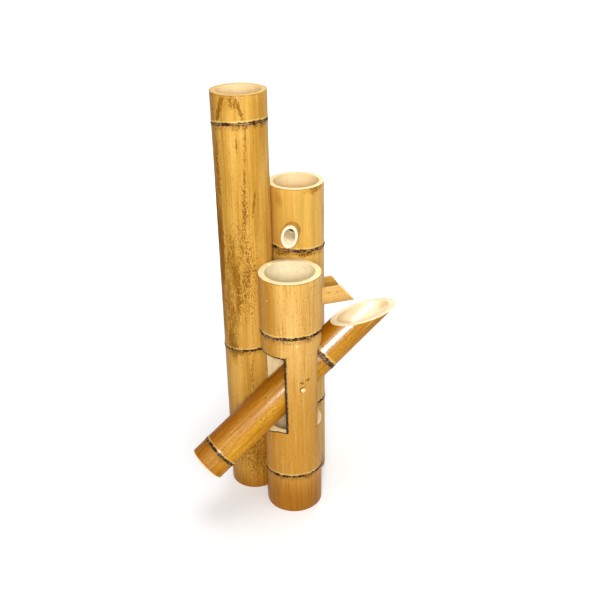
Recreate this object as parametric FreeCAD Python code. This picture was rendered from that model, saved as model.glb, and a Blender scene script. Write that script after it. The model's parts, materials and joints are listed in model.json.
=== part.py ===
import FreeCAD, Part
import math
import os

# Bamboo shishi odoshi fountain: three upright canes and a tilting rocker tube.
# Lengths are millimetres and angles are degrees. The origin is the centre of the rocker post's
# foot on the floor, X points right, Y points back and Z points up.

# Rocker post, the front cane that carries the rocker
POST_FOOT_RADIUS = 47.1
POST_TOP_RADIUS = 49.3
POST_WALL = 9.0
POST_CUP_DEPTH = 93.0
POST_BRIDGE = 37.2
POST_LOWER_NODE_HEIGHT = 74.3

# Pivot of the rocker in the post
PIVOT_HEIGHT = 244.8
PIVOT_YAW = 22.0
PIN_RADIUS = 4.0
REST_TILT = 38.2
TIP_TILT = 32.4
SILL_DROP = 80.3
SLOT_SIDE_GAP = 8.4
SLOT_HEAD_CLEARANCE = 9.0
STOP_GAP = 0.8

# Rocker tube, measured along its centre line from the pin
TAIL_LENGTH = 202.6
TAIL_STUB_LENGTH = 31.3
WATER_NODE_DISTANCE = 58.2
MOUTH_DISTANCE = 157.4
MOUTH_CUT_ANGLE = 30.6
MOUTH_ROLL = 2.9
ROCKER_TAIL_RADIUS = 31.4
ROCKER_MOUTH_RADIUS = 30.0
ROCKER_WALL = 6.5
PIN_ABOVE_CENTRE_LINE = 7.9

# Spout cane behind the post
SPOUT_CANE_RADIUS = 44.8
SPOUT_CANE_WALL = 8.5
SPOUT_CANE_AZIMUTH = 82.9
SPOUT_CANE_TOP_ABOVE_SPOUT = 65.7
SPOUT_NODE_BELOW_SPOUT = 35.0
SPOUT_CANE_LOWER_NODE_HEIGHT = 150.0

# Tall cane at the left
TALL_CANE_HEIGHT = 700.0
TALL_CANE_FOOT_RADIUS = 42.2
TALL_CANE_TOP_RADIUS = 42.3
TALL_CANE_WALL = 8.0
TALL_CANE_CUP_DEPTH = 40.5
TALL_CANE_LOWER_NODE_HEIGHT = 283.0

# Form of every bamboo node and the gap that keeps two nodes apart
NODE_RIDGE = 1.0
NODE_HALF_HEIGHT = 5.0
NODE_PLATE = 5.0
CANE_GAP = 0.4

# Pour spout in the spout cane
POUR_ABOVE_RIM = 48.5
POUR_RADIUS = 13.0
POUR_WALL = 3.8
POUR_AZIMUTH = 261.3
POUR_REACH = 29.9
POUR_CUT_ANGLE = 43.0

# Feed spout in the post's cup
FEED_BELOW_RIM = 51.9
FEED_RADIUS = 13.6
FEED_WALL = 3.8
FEED_AZIMUTH = 17.8
FEED_REACH = 47.0
FEED_CUT_ANGLE = 50.0
SPOUT_INNER_STAND = 5.0

# Cross rod through the tall cane and the spout cane
ROD_HEIGHT = 358.0
ROD_RADIUS = 10.5
ROD_WALL = 3.5
ROD_REACH = 25.2
ROD_CUT_ANGLE = 60.0
ROD_INNER_STAND = 6.0

# Pegs that join the canes
PEG_RADIUS = 5.0
PEG_SHORT_OF_HOLLOW = 1.0

# Water supply inside the spout cane
RISER_RADIUS = 8.0
RISER_WALL = 2.0
RISER_OFFSET = 20.5
RISER_BELOW_SPOUT = 20.0
GROMMET_LIP = 2.0
GROMMET_WALL = 3.0
ELBOW_HEIGHT = 16.0
ELBOW_WALL = 2.5
ELBOW_SOCKET_DEPTH = 16.0
HOSE_TAIL_RADIUS = 6.5
HOSE_TAIL_BORE = 4.5
HOSE_TAIL_REACH = 26.0
HOSE_COLLAR = 2.0
HOSE_COLLAR_WIDTH = 3.0
NOTCH_CLEARANCE = 4.0

# Fits
GLUED_GAP = 0.05
RUNNING_GAP = 0.06
SPACER_WALL = 3.0
SPACER_PLAY = 0.4

UP = FreeCAD.Vector(0, 0, 1)
ALONG = FreeCAD.Vector(1, 0, 0)
ACROSS = FreeCAD.Vector(0, 1, 0)
CENTRE = FreeCAD.Vector(0, 0, 0)


def point(x, y, z):
    return FreeCAD.Vector(x, y, z)


def sine(angle):
    return math.sin(math.radians(angle))


def cosine(angle):
    return math.cos(math.radians(angle))


def tangent(angle):
    return math.tan(math.radians(angle))


def place(shape, tilt, yaw, base):
    """Raise a shape's +X end by tilt, turn it about the vertical and move it to its base."""
    placed = shape.copy()
    placed.rotate(CENTRE, ACROSS, -tilt)
    placed.rotate(CENTRE, UP, yaw)
    placed.translate(base)
    return placed


def culm(start, end, start_radius, end_radius, nodes):
    """Solid bamboo culm about Z: a slight taper with a ledge, a groove and a ridge at each node."""
    def radius_at(height):
        return start_radius + (end_radius - start_radius) * (height - start) / (end - start)

    outline = [point(0, 0, start), point(start_radius, 0, start)]
    for node in sorted(nodes):
        ledge = node - NODE_HALF_HEIGHT * 0.2
        groove = node + NODE_HALF_HEIGHT * 0.16
        ridge = node + NODE_HALF_HEIGHT * 0.5
        outline.append(point(radius_at(node - NODE_HALF_HEIGHT), 0, node - NODE_HALF_HEIGHT))
        outline.append(point(radius_at(ledge) + NODE_RIDGE, 0, ledge))
        outline.append(point(radius_at(node) + NODE_RIDGE, 0, node))
        outline.append(point(radius_at(groove) + NODE_RIDGE * 0.2, 0, groove))
        outline.append(point(radius_at(ridge) + NODE_RIDGE * 0.6, 0, ridge))
        outline.append(point(radius_at(node + NODE_HALF_HEIGHT), 0, node + NODE_HALF_HEIGHT))
    outline.append(point(end_radius, 0, end))
    outline.append(point(0, 0, end))
    outline.append(point(0, 0, start))
    return Part.Face(Part.makePolygon(outline)).revolve(CENTRE, UP, 360)


def hollow(solid, start, end, inner_radius, nodes):
    """Bore a culm along Z from end to end and leave a plate across it at each node."""
    low = start - 1.0
    for node in sorted(nodes) + [None]:
        high = end + 1.0 if node is None else node - NODE_PLATE / 2
        solid = solid.cut(Part.makeCylinder(inner_radius, high - low, point(0, 0, low)))
        if node is not None:
            low = node + NODE_PLATE / 2
    return solid


def beyond_cut(distance, angle, size):
    """Block past a slanted cut of a tube along X, whose lower lip is the longer one."""
    block = Part.makeBox(size, size, size, point(-size / 2, -size / 2, 0))
    block.rotate(CENTRE, ACROSS, angle)
    block.translate(point(distance, 0, 0))
    return block


def spout_tube(start, distance, radius, wall, angle):
    """Short tube along X from start, cut slantwise so that the cut crosses the axis at distance."""
    longest = distance + radius / tangent(angle) + 1.0
    tube = Part.makeCylinder(radius, longest - start, point(start, 0, 0), ALONG)
    tube = tube.cut(Part.makeCylinder(radius - wall, longest - start + 2, point(start - 1, 0, 0), ALONG))
    return tube.cut(beyond_cut(distance, angle, 6 * longest))


def rod_hole(radius, start, end, azimuth, base):
    """Round hole that runs level from one distance to another in the direction of azimuth."""
    return place(Part.makeCylinder(radius, end - start, point(start, 0, 0), ALONG), 0, azimuth, base)


# Rocker radius along its centre line
def rocker_radius(distance):
    share = (distance + TAIL_LENGTH) / (TAIL_LENGTH + MOUTH_DISTANCE)
    return ROCKER_TAIL_RADIUS + (ROCKER_MOUTH_RADIUS - ROCKER_TAIL_RADIUS) * share


# The slot's head stops the tipped rocker on the tail side, and its sill carries the resting tail.
post_radius_at_pivot = (POST_FOOT_RADIUS + POST_TOP_RADIUS) / 2
rocker_side = rocker_radius(-post_radius_at_pivot)
slot_half_width = rocker_side + SLOT_SIDE_GAP
head_rise = (
    (rocker_side - PIN_ABOVE_CENTRE_LINE + STOP_GAP) / cosine(TIP_TILT)
    + post_radius_at_pivot * tangent(TIP_TILT)
)
slot_head = PIVOT_HEIGHT + head_rise
slot_sill = PIVOT_HEIGHT - SILL_DROP
post_upper_node = slot_head + POST_BRIDGE
post_height = post_upper_node + POST_CUP_DEPTH
post_inner_radius = post_radius_at_pivot - POST_WALL
post_nodes = [POST_LOWER_NODE_HEIGHT, post_upper_node]

# Places of the other canes: the three stand side by side, each against the other two.
pour_height = post_height + POUR_ABOVE_RIM
spout_cane_height = pour_height + SPOUT_CANE_TOP_ABOVE_SPOUT
spout_cane_upper_node = pour_height - SPOUT_NODE_BELOW_SPOUT
spout_cane_nodes = [SPOUT_CANE_LOWER_NODE_HEIGHT, spout_cane_upper_node]
spout_cane_inner_radius = SPOUT_CANE_RADIUS - SPOUT_CANE_WALL
post_radius_at_node = max(POST_FOOT_RADIUS, POST_TOP_RADIUS)
post_to_spout_cane = post_radius_at_node + NODE_RIDGE + SPOUT_CANE_RADIUS + CANE_GAP
spout_cane_base = point(
    post_to_spout_cane * cosine(SPOUT_CANE_AZIMUTH), post_to_spout_cane * sine(SPOUT_CANE_AZIMUTH), 0
)

tall_cane_radius = max(TALL_CANE_FOOT_RADIUS, TALL_CANE_TOP_RADIUS)
tall_cane_inner_radius = (TALL_CANE_FOOT_RADIUS + TALL_CANE_TOP_RADIUS) / 2 - TALL_CANE_WALL
tall_cane_nodes = [TALL_CANE_LOWER_NODE_HEIGHT, TALL_CANE_HEIGHT - TALL_CANE_CUP_DEPTH]
tall_to_spout_cane = tall_cane_radius + NODE_RIDGE + SPOUT_CANE_RADIUS + CANE_GAP
post_to_tall_cane = post_radius_at_node + NODE_RIDGE + tall_cane_radius + CANE_GAP
corner = math.degrees(math.acos(
    (post_to_spout_cane ** 2 + post_to_tall_cane ** 2 - tall_to_spout_cane ** 2)
    / (2 * post_to_spout_cane * post_to_tall_cane)
))
tall_cane_azimuth = SPOUT_CANE_AZIMUTH + corner
tall_cane_base = point(
    post_to_tall_cane * cosine(tall_cane_azimuth), post_to_tall_cane * sine(tall_cane_azimuth), 0
)
between_canes = spout_cane_base - tall_cane_base
rod_azimuth = math.degrees(math.atan2(between_canes.y, between_canes.x))

# Slot through the post, drawn along the rocker's direction and the height
reach = post_radius_at_pivot + 20
underside = PIVOT_HEIGHT - (rocker_side + PIN_ABOVE_CENTRE_LINE + STOP_GAP) / cosine(REST_TILT)
topside = PIVOT_HEIGHT + (rocker_side - PIN_ABOVE_CENTRE_LINE + SLOT_HEAD_CLEARANCE) / cosine(REST_TILT)
bevel_end = (slot_sill - underside) / tangent(REST_TILT)
head_bend = (slot_head - topside) / tangent(REST_TILT)
slot_outline = Part.makePolygon([
    point(-reach, -slot_half_width, underside - reach * tangent(REST_TILT)),
    point(bevel_end, -slot_half_width, slot_sill),
    point(reach, -slot_half_width, slot_sill),
    point(reach, -slot_half_width, topside + reach * tangent(REST_TILT)),
    point(head_bend, -slot_half_width, slot_head),
    point(-reach, -slot_half_width, slot_head),
    point(-reach, -slot_half_width, underside - reach * tangent(REST_TILT)),
])
slot = place(Part.Face(slot_outline).extrude(point(0, 2 * slot_half_width, 0)), 0, PIVOT_YAW, CENTRE)

pivot = point(0, 0, PIVOT_HEIGHT)
pin_length = 2 * post_radius_at_pivot


def along_pin(radius, start, end):
    """Cylinder on the pivot line, from one distance to another behind the post's axis."""
    return place(Part.makeCylinder(radius, end - start, point(0, start, 0), ACROSS), 0, PIVOT_YAW, pivot)


# Heights of the pegs: between sill and lower node, and between slot head and upper node
low_peg_height = (POST_LOWER_NODE_HEIGHT + slot_sill) / 2
high_peg_height = post_upper_node - POST_BRIDGE / 2
feed_height = post_height - FEED_BELOW_RIM


def peg(first_base, second_base, first_inner, second_inner, height, radius, short):
    """Round peg through the walls of two canes that ends a little short of both hollows."""
    line = second_base - first_base
    azimuth = math.degrees(math.atan2(line.y, line.x))
    start = first_inner + short
    end = line.Length - second_inner - short
    return rod_hole(radius, start, end, azimuth, first_base + point(0, 0, height))


def pegs(radius, short):
    """All pegs: two from the post to each other cane, and a low one between those two canes."""
    shapes = []
    for height in [low_peg_height, high_peg_height]:
        shapes.append(
            peg(CENTRE, spout_cane_base, post_inner_radius, spout_cane_inner_radius, height, radius, short)
        )
        shapes.append(
            peg(CENTRE, tall_cane_base, post_inner_radius, tall_cane_inner_radius, height, radius, short)
        )
    shapes.append(
        peg(tall_cane_base, spout_cane_base, tall_cane_inner_radius, spout_cane_inner_radius,
            low_peg_height, radius, short)
    )
    return shapes


# Rocker post
post = culm(0, post_height, POST_FOOT_RADIUS, POST_TOP_RADIUS, post_nodes)
post = hollow(post, 0, post_height, post_inner_radius, post_nodes)
post = post.cut(slot)
post = post.cut(along_pin(PIN_RADIUS + GLUED_GAP, -reach, reach))
post = post.cut(rod_hole(FEED_RADIUS + GLUED_GAP, 0, reach, FEED_AZIMUTH, point(0, 0, feed_height)))
for hole in pegs(PEG_RADIUS + GLUED_GAP, -PEG_SHORT_OF_HOLLOW):
    post = post.cut(hole)

# Pivot pin and the spacers on it
pin = along_pin(PIN_RADIUS, -pin_length / 2, pin_length / 2)
spacer_radius = PIN_RADIUS + SPACER_WALL
spacer_start = rocker_side + SPACER_PLAY
spacer_end = slot_half_width - SPACER_PLAY
spacers = []
for side_start, side_end in [(-spacer_end, -spacer_start), (spacer_start, spacer_end)]:
    spacer = along_pin(spacer_radius, side_start, side_end)
    spacers.append(spacer.cut(along_pin(PIN_RADIUS + RUNNING_GAP, -reach, reach)))

# Rocker tube, made about Z and laid along X with its centre line below the pin
mouth_tip = MOUTH_DISTANCE + ROCKER_MOUTH_RADIUS / tangent(MOUTH_CUT_ANGLE) + 5
rocker_nodes = [TAIL_STUB_LENGTH - TAIL_LENGTH, WATER_NODE_DISTANCE]
rocker = culm(-TAIL_LENGTH, mouth_tip, ROCKER_TAIL_RADIUS, rocker_radius(mouth_tip), rocker_nodes)
rocker = hollow(
    rocker, -TAIL_LENGTH, mouth_tip, (ROCKER_TAIL_RADIUS + ROCKER_MOUTH_RADIUS) / 2 - ROCKER_WALL, rocker_nodes
)
rocker.rotate(CENTRE, ACROSS, 90)
mouth_block = beyond_cut(MOUTH_DISTANCE, MOUTH_CUT_ANGLE, 6 * mouth_tip)
mouth_block.rotate(CENTRE, ALONG, MOUTH_ROLL)
rocker = rocker.cut(mouth_block)
rocker.translate(point(0, 0, -PIN_ABOVE_CENTRE_LINE))
rocker = place(rocker, REST_TILT, PIVOT_YAW, pivot)
rocker = rocker.cut(along_pin(PIN_RADIUS + RUNNING_GAP, -reach, reach))

# Spout cane with the spout's hole, the rod's and pegs' holes, the riser's holes and the hose notch
riser_base = spout_cane_base + point(-sine(rod_azimuth), cosine(rod_azimuth), 0) * RISER_OFFSET
grommet_radius = RISER_RADIUS + GROMMET_WALL
elbow_radius = RISER_RADIUS + ELBOW_WALL
notch_half_width = HOSE_TAIL_RADIUS + NOTCH_CLEARANCE
spout_cane = culm(0, spout_cane_height, SPOUT_CANE_RADIUS, SPOUT_CANE_RADIUS, spout_cane_nodes)
spout_cane = hollow(spout_cane, 0, spout_cane_height, spout_cane_inner_radius, spout_cane_nodes)
spout_cane.translate(spout_cane_base)
pour_base = spout_cane_base + point(0, 0, pour_height)
spout_cane = spout_cane.cut(rod_hole(POUR_RADIUS + GLUED_GAP, 0, reach, POUR_AZIMUTH, pour_base))
rod_base = spout_cane_base + point(0, 0, ROD_HEIGHT)
spout_cane = spout_cane.cut(rod_hole(ROD_RADIUS + GLUED_GAP, -reach, reach, rod_azimuth, rod_base))
for hole in pegs(PEG_RADIUS + GLUED_GAP, -PEG_SHORT_OF_HOLLOW):
    spout_cane = spout_cane.cut(hole)
for radius, node in zip([RISER_RADIUS + GLUED_GAP, grommet_radius], spout_cane_nodes):
    plate_hole = Part.makeCylinder(radius, 2 * NODE_PLATE, riser_base + point(0, 0, node - NODE_PLATE))
    spout_cane = spout_cane.cut(plate_hole)
notch_base = point(riser_base.x, riser_base.y, 0)
notch_block = Part.makeBox(2 * notch_half_width, reach, ELBOW_HEIGHT, point(-notch_half_width, 0, 0))
notch_arch = Part.makeCylinder(notch_half_width, reach, point(0, 0, ELBOW_HEIGHT), ACROSS)
notch = notch_block.fuse(notch_arch)
notch.translate(notch_base)
spout_cane = spout_cane.cut(notch)

# Tall cane
tall_cane = culm(0, TALL_CANE_HEIGHT, TALL_CANE_FOOT_RADIUS, TALL_CANE_TOP_RADIUS, tall_cane_nodes)
tall_cane = hollow(tall_cane, 0, TALL_CANE_HEIGHT, tall_cane_inner_radius, tall_cane_nodes)
tall_cane.translate(tall_cane_base)
tall_cane = tall_cane.cut(
    rod_hole(ROD_RADIUS + GLUED_GAP, 0, reach, rod_azimuth, tall_cane_base + point(0, 0, ROD_HEIGHT))
)
for hole in pegs(PEG_RADIUS + GLUED_GAP, -PEG_SHORT_OF_HOLLOW):
    tall_cane = tall_cane.cut(hole)

# Spouts and cross rod
pour_spout = spout_tube(
    spout_cane_inner_radius - SPOUT_INNER_STAND, SPOUT_CANE_RADIUS + POUR_REACH,
    POUR_RADIUS, POUR_WALL, POUR_CUT_ANGLE
)
pour_spout = place(pour_spout, 0, POUR_AZIMUTH, pour_base)
feed_spout = spout_tube(
    post_inner_radius - SPOUT_INNER_STAND, POST_TOP_RADIUS + FEED_REACH,
    FEED_RADIUS, FEED_WALL, FEED_CUT_ANGLE
)
feed_spout = place(feed_spout, 0, FEED_AZIMUTH, point(0, 0, feed_height))
rod_start = tall_cane_inner_radius - ROD_INNER_STAND - tall_to_spout_cane
cross_rod = spout_tube(rod_start, SPOUT_CANE_RADIUS + ROD_REACH, ROD_RADIUS, ROD_WALL, ROD_CUT_ANGLE)
cross_rod = place(cross_rod, 0, rod_azimuth, rod_base)

# Riser pipe, its grommet in the upper node plate and the elbow whose tail takes the hose
pipe_start = ELBOW_HEIGHT + HOSE_TAIL_RADIUS
pipe_end = pour_height - RISER_BELOW_SPOUT
riser = Part.makeCylinder(RISER_RADIUS, pipe_end - pipe_start, riser_base + point(0, 0, pipe_start))
riser = riser.cut(
    Part.makeCylinder(RISER_RADIUS - RISER_WALL, pipe_end, riser_base + point(0, 0, pipe_start - 1))
)
grommet = Part.makeCylinder(
    grommet_radius - GLUED_GAP, NODE_PLATE, riser_base + point(0, 0, spout_cane_upper_node - NODE_PLATE / 2)
)
for lip_base in [NODE_PLATE / 2, -NODE_PLATE / 2 - GROMMET_LIP]:
    lip = Part.makeCylinder(
        grommet_radius + GROMMET_LIP, GROMMET_LIP, riser_base + point(0, 0, spout_cane_upper_node + lip_base)
    )
    grommet = grommet.fuse(lip)
grommet = grommet.cut(
    Part.makeCylinder(
        RISER_RADIUS + GLUED_GAP, 4 * NODE_PLATE, riser_base + point(0, 0, spout_cane_upper_node - 2 * NODE_PLATE)
    )
)
tail_end = (spout_cane_base.y - riser_base.y) + SPOUT_CANE_RADIUS + HOSE_TAIL_REACH
elbow_floor = ELBOW_HEIGHT - HOSE_TAIL_RADIUS - ELBOW_WALL
elbow_top = pipe_start + ELBOW_SOCKET_DEPTH
elbow = Part.makeCylinder(elbow_radius, elbow_top - elbow_floor, point(0, 0, elbow_floor))
elbow = elbow.fuse(Part.makeCylinder(HOSE_TAIL_RADIUS, tail_end, point(0, 0, ELBOW_HEIGHT), ACROSS))
collar_start = tail_end - HOSE_TAIL_REACH + CANE_GAP
collar = Part.makeCylinder(
    HOSE_TAIL_RADIUS + HOSE_COLLAR, HOSE_COLLAR_WIDTH, point(0, collar_start, ELBOW_HEIGHT), ACROSS
)
elbow = elbow.fuse(collar)
elbow = elbow.cut(Part.makeCylinder(RISER_RADIUS + GLUED_GAP, elbow_top, point(0, 0, pipe_start)))
elbow = elbow.cut(Part.makeCylinder(RISER_RADIUS - RISER_WALL, HOSE_TAIL_RADIUS + 1, point(0, 0, ELBOW_HEIGHT)))
elbow = elbow.cut(Part.makeCylinder(HOSE_TAIL_BORE, tail_end + 1, point(0, 0, ELBOW_HEIGHT), ACROSS))
elbow.translate(riser_base)

nodes = {
    "tall_cane": tall_cane,
    "spout_cane": spout_cane,
    "rocker_post": post,
    "rocker_tube": rocker,
    "pivot_pin": pin,
    "pivot_spacers": Part.makeCompound(spacers),
    "pour_spout": pour_spout,
    "feed_spout": feed_spout,
    "cross_rod": cross_rod,
    "joining_pegs": Part.makeCompound(pegs(PEG_RADIUS, PEG_SHORT_OF_HOLLOW)),
    "riser_pipe": riser,
    "riser_grommet": grommet,
    "hose_elbow": elbow,
}
for name, shape in nodes.items():
    shape.exportStep("parts/" + name + ".step")
    print(name, len(shape.Solids), "solids, volume", round(shape.Volume / 1000, 2), "cm3", shape.isValid())
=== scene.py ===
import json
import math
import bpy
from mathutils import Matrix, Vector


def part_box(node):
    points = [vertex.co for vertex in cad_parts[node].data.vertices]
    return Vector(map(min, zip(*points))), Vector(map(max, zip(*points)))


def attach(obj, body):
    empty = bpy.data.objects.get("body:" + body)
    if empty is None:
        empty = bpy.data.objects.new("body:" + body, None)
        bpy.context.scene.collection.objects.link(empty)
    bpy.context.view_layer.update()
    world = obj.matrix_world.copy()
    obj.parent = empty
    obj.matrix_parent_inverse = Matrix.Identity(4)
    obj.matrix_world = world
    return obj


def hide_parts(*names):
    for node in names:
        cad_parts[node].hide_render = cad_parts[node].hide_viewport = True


bl_info = {
    "name": "Bamboo Garden Fountain",
    "version": (1, 0, 0),
    "blender": (4, 5, 0),
    "location": "View3D > Sidebar > Fountain",
    "description": "Three bamboo canes, their spouts and a tilting bamboo rocker on a measured frame",
    "category": "Add Mesh",
}

import bmesh
import bpy
from bpy.props import FloatProperty, FloatVectorProperty, PointerProperty
from mathutils import Euler, Matrix, Vector, noise

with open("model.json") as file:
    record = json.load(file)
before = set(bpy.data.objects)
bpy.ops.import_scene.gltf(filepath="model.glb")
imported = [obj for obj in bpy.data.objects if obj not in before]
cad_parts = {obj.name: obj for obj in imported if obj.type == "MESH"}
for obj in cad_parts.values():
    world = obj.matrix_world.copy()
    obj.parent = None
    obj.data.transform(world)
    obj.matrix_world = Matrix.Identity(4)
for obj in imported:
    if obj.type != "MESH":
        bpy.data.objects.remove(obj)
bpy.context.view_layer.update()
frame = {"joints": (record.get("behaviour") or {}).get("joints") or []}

TALL_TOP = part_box("tall_cane")[1].z
SPOUT_CANE_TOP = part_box("spout_cane")[1].z
POST_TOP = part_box("rocker_post")[1].z
HOSE_TAIL_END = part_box("hose_elbow")[1].y
PIVOT = Vector(frame["joints"][0]["pos_m"])

# Sides of turned shapes, and the usual rounding of an edge; all lengths are in metres
STEPS = 128
SMALL_STEPS = 64
THIN_STEPS = 48
ROUNDING = 0.0005
ORIGIN = (0.0, 0.0, 0.0)
UPRIGHT = (0.0, 0.0, 0.0)

# Distances within which points count as one, as on the axis or an end, and as on a bore or an edge
TINY = 1e-6
ON_END = 0.00001
ON_EDGE = 0.0001

# A node of a cane: height from the node and how far the skin stands out there
NODE_SHAPE = [
    (-0.0075, 0.0), (-0.0055, 0.00008), (-0.0038, 0.0003), (-0.0024, 0.00062), (-0.0014, 0.00088),
    (-0.0008, 0.001), (-0.0003, 0.00094), (0.0001, 0.00068), (0.0004, 0.00032), (0.0008, 0.00015),
    (0.0013, 0.00022), (0.0019, 0.00045), (0.0026, 0.00062), (0.0034, 0.00055), (0.0045, 0.00026),
    (0.006, 0.00006), (0.0078, 0.0),
]
# Inside of a cane: reach of the corner at a node plate, and spacing of its points
CORNER = 0.003
INNER_SPACING = 0.015

# Reach of the drills and of the slot's cutter, and how far spouts and rod stand into a bore
DRILL = 0.06
POST_DRILL = 0.07
SLOT_REACH = 0.068
SPOUT_INSET = 0.005
ROD_INSET = 0.006
# Distance from the cane's axis to the middle of a tube's slanted cut, and the cut's angle in degrees
POUR_CUT = (0.0747, 43)
FEED_CUT = (0.0963, 50)
ROD_CUT = (0.07, 60)
# Small tube: how far its pale lip starts and is full behind the cut, and uncut length past the cut
LIP_START = 0.0018
LIP_FULL = 0.001
TUBE_SPARE = 0.002
# Rocker: uncut length past its pin, rounding and pale edge of its tail, direction of its polished side
ROCKER_BLANK = 0.23
TAIL_ROUNDING = 0.0016
TAIL_WORN = 0.003
POLISHED_SIDE = (-0.63, -0.777)
# Pivot: half the pin's length, half the rocker's width at the pin, room round the pin, room beside a spacer
PIN_HALF = 0.0482
ROCKER_SIDE = 0.0308
PIN_PLAY = 0.00006
SIDE_PLAY = 0.0004
# Riser pipe: radii, foot, distance behind the cane's axis, drop below the spout; neck of its grommet
PIPE_RADIUS = 0.008
PIPE_BORE = 0.006
PIPE_FOOT = 0.0225
PIPE_OFFSET = 0.0205
PIPE_DROP = 0.02
GROMMET_NECK = 0.01095
# How far the drills pass a node plate and a cane's wall, and how far a peg stays short of the bore
PLATE_DRILL = 0.008
PEG_DRILL = 0.002
PEG_INSET = 0.001

# Marks on a skin: centre, turn about Y in degrees, half sizes, raggedness, softness and strength
TALL_CANE_STAINS = [
    ((-0.0245, -0.034, 0.686), 15, (0.0050, 0.012, 0.021), 0.9, 0.5, 0.9),
    ((-0.0285, -0.031, 0.672), 12, (0.0036, 0.012, 0.016), 0.8, 0.5, 1.0),
    ((0.003, -0.042, 0.680), -14, (0.0040, 0.010, 0.023), 1.0, 0.6, 0.75),
    ((-0.009, -0.0415, 0.689), 0, (0.014, 0.010, 0.014), 1.1, 0.6, 0.62),
    ((0.0075, -0.0415, 0.600), 3, (0.0030, 0.008, 0.075), 0.9, 0.6, 0.65),
    ((0.004, -0.042, 0.520), 2, (0.0060, 0.010, 0.075), 1.1, 0.7, 0.7),
    ((-0.0035, -0.042, 0.628), 0, (0.0018, 0.006, 0.016), 0.8, 0.6, 0.65),
    ((0.018, -0.038, 0.536), 7, (0.0024, 0.006, 0.030), 0.8, 0.5, 0.8),
    ((-0.020, -0.036, 0.395), 3, (0.018, 0.020, 0.120), 0.8, 0.5, 1.0),
    ((-0.024, -0.034, 0.300), 0, (0.014, 0.016, 0.055), 0.7, 0.5, 1.0),
    ((-0.002, -0.040, 0.430), 0, (0.026, 0.016, 0.120), 0.9, 0.8, 0.6),
    ((-0.037, -0.021, 0.480), 0, (0.0095, 0.020, 0.230), 0.8, 0.5, 0.95),
    ((0.006, -0.0415, 0.238), 3, (0.008, 0.012, 0.048), 0.9, 0.6, 0.6),
    ((-0.012, -0.040, 0.205), 0, (0.020, 0.018, 0.040), 0.9, 0.8, 0.3),
    ((-0.012, 0.040, 0.330), 0, (0.018, 0.020, 0.200), 0.9, 0.8, 0.8),
    ((0.038, 0.016, 0.470), 0, (0.010, 0.016, 0.120), 0.9, 0.8, 0.7),
    ((0.010, -0.036, 0.075), 0, (0.050, 0.030, 0.085), 0.9, 0.8, 0.75),
]
# Painted light: paler patches on the tall cane's front below its lower node.
TALL_CANE_PAINTED_LIGHT = [
    ((-0.0260, -0.0330, 0.222), 0, (0.0300, 0.022, 0.062), 0.9, 0.8, 0.55),
    ((0.0160, -0.0390, 0.250), 0, (0.0160, 0.014, 0.034), 0.9, 0.8, 0.35),
]
SPOUT_CANE_STAINS = [
    ((0.0310, -0.0320, 0.549), 0, (0.0240, 0.018, 0.016), 1.0, 0.6, 0.8),
    ((0.0430, -0.0130, 0.490), 0, (0.0080, 0.014, 0.055), 0.9, 0.8, 0.5),
    ((0.0120, -0.0430, 0.4390), 0, (0.0220, 0.012, 0.0055), 1.2, 0.6, 1.0),
    ((-0.0300, -0.0330, 0.4380), 0, (0.0150, 0.012, 0.0050), 1.2, 0.6, 0.9),
    ((0.0150, 0.0420, 0.300), 0, (0.0240, 0.016, 0.120), 0.9, 0.8, 0.6),
]
SPOUT_CANE_WARM_MARKS = [
    ((-0.0270, -0.0357, 0.528), -12, (0.0100, 0.012, 0.020), 0.5, 0.9, 0.45),
    ((0.0260, -0.0365, 0.543), 0, (0.0240, 0.012, 0.0055), 0.9, 0.8, 0.5),
]
POST_PALE_MARKS = [
    ((0.0157, -0.0455, 0.405), 0, (0.0012, 0.0012, 0.0014), 0.2, 0.5, 0.8),
    ((0.0094, -0.0483, 0.327), 0, (0.0025, 0.0025, 0.0018), 0.4, 0.5, 0.9),
    ((-0.0359, -0.0335, 0.400), 0, (0.0016, 0.0016, 0.0013), 0.3, 0.5, 0.8),
]
# Dark specks and a thin dark line on the post; the third entry is painted shadow round the pivot pin's hole.
POST_SPECKS_AND_PIN_SHADOW = [
    ((0.0160, -0.0454, 0.2590), 25, (0.0052, 0.003, 0.0030), 1.1, 0.4, 0.85),
    ((0.0257, -0.0408, 0.2624), -12, (0.0056, 0.003, 0.0038), 1.2, 0.4, 0.85),
    # Painted shadow: the dark crescent round the pivot pin's hole.
    ((0.0168, -0.0450, 0.2462), 0, (0.0064, 0.005, 0.0062), 0.15, 0.25, 0.85),
    ((-0.007, -0.0478, 0.102), 24, (0.0005, 0.006, 0.0160), 0.15, 0.5, 0.7),
]
FEED_SPOUT_MARKS = [
    ((-0.0097, -0.0096, 0.0603), 0, (0.0016, 0.0016, 0.0024), 0.7, 0.5, 0.65),
    ((-0.0090, -0.0102, 0.0745), 0, (0.0018, 0.0018, 0.0018), 0.7, 0.5, 0.75),
    ((-0.0020, -0.0134, 0.0930), 0, (0.0014, 0.0014, 0.0014), 0.7, 0.5, 0.5),
]
# Painted shade: a warmer, darker tone on the rocker's inner wall near the mouth's tip.
ROCKER_INSIDE_PAINTED_SHADE = [
    ((0.0215, 0.0060, 0.193), 0, (0.0140, 0.0140, 0.0190), 0.4, 0.9, 0.8),
    ((0.0120, -0.0200, 0.172), 0, (0.0100, 0.0060, 0.0200), 0.4, 0.9, 0.3),
]

# Lamps: place, target and diameter
AIM = (0.0, 0.05, 0.30)
LAMPS = {
    "key": ((0.03, -1.25, 1.00), AIM, 0.46),
    "low": ((-0.04, -1.20, 0.84), (0.0, 0.0, 0.20), 0.34),
    "left": ((-1.7, -0.7, 1.1), AIM, 1.2),
    "right": ((1.7, -0.7, 1.1), AIM, 1.2),
    "top": ((0.15, -0.05, 2.1), (0.0, 0.05, 0.20), 1.4),
    "back": ((0.5, 2.1, 1.3), AIM, 1.4),
}


def number(name, description, default, **kind):
    return FloatProperty(name=name, description=description, default=default, **kind)


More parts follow.
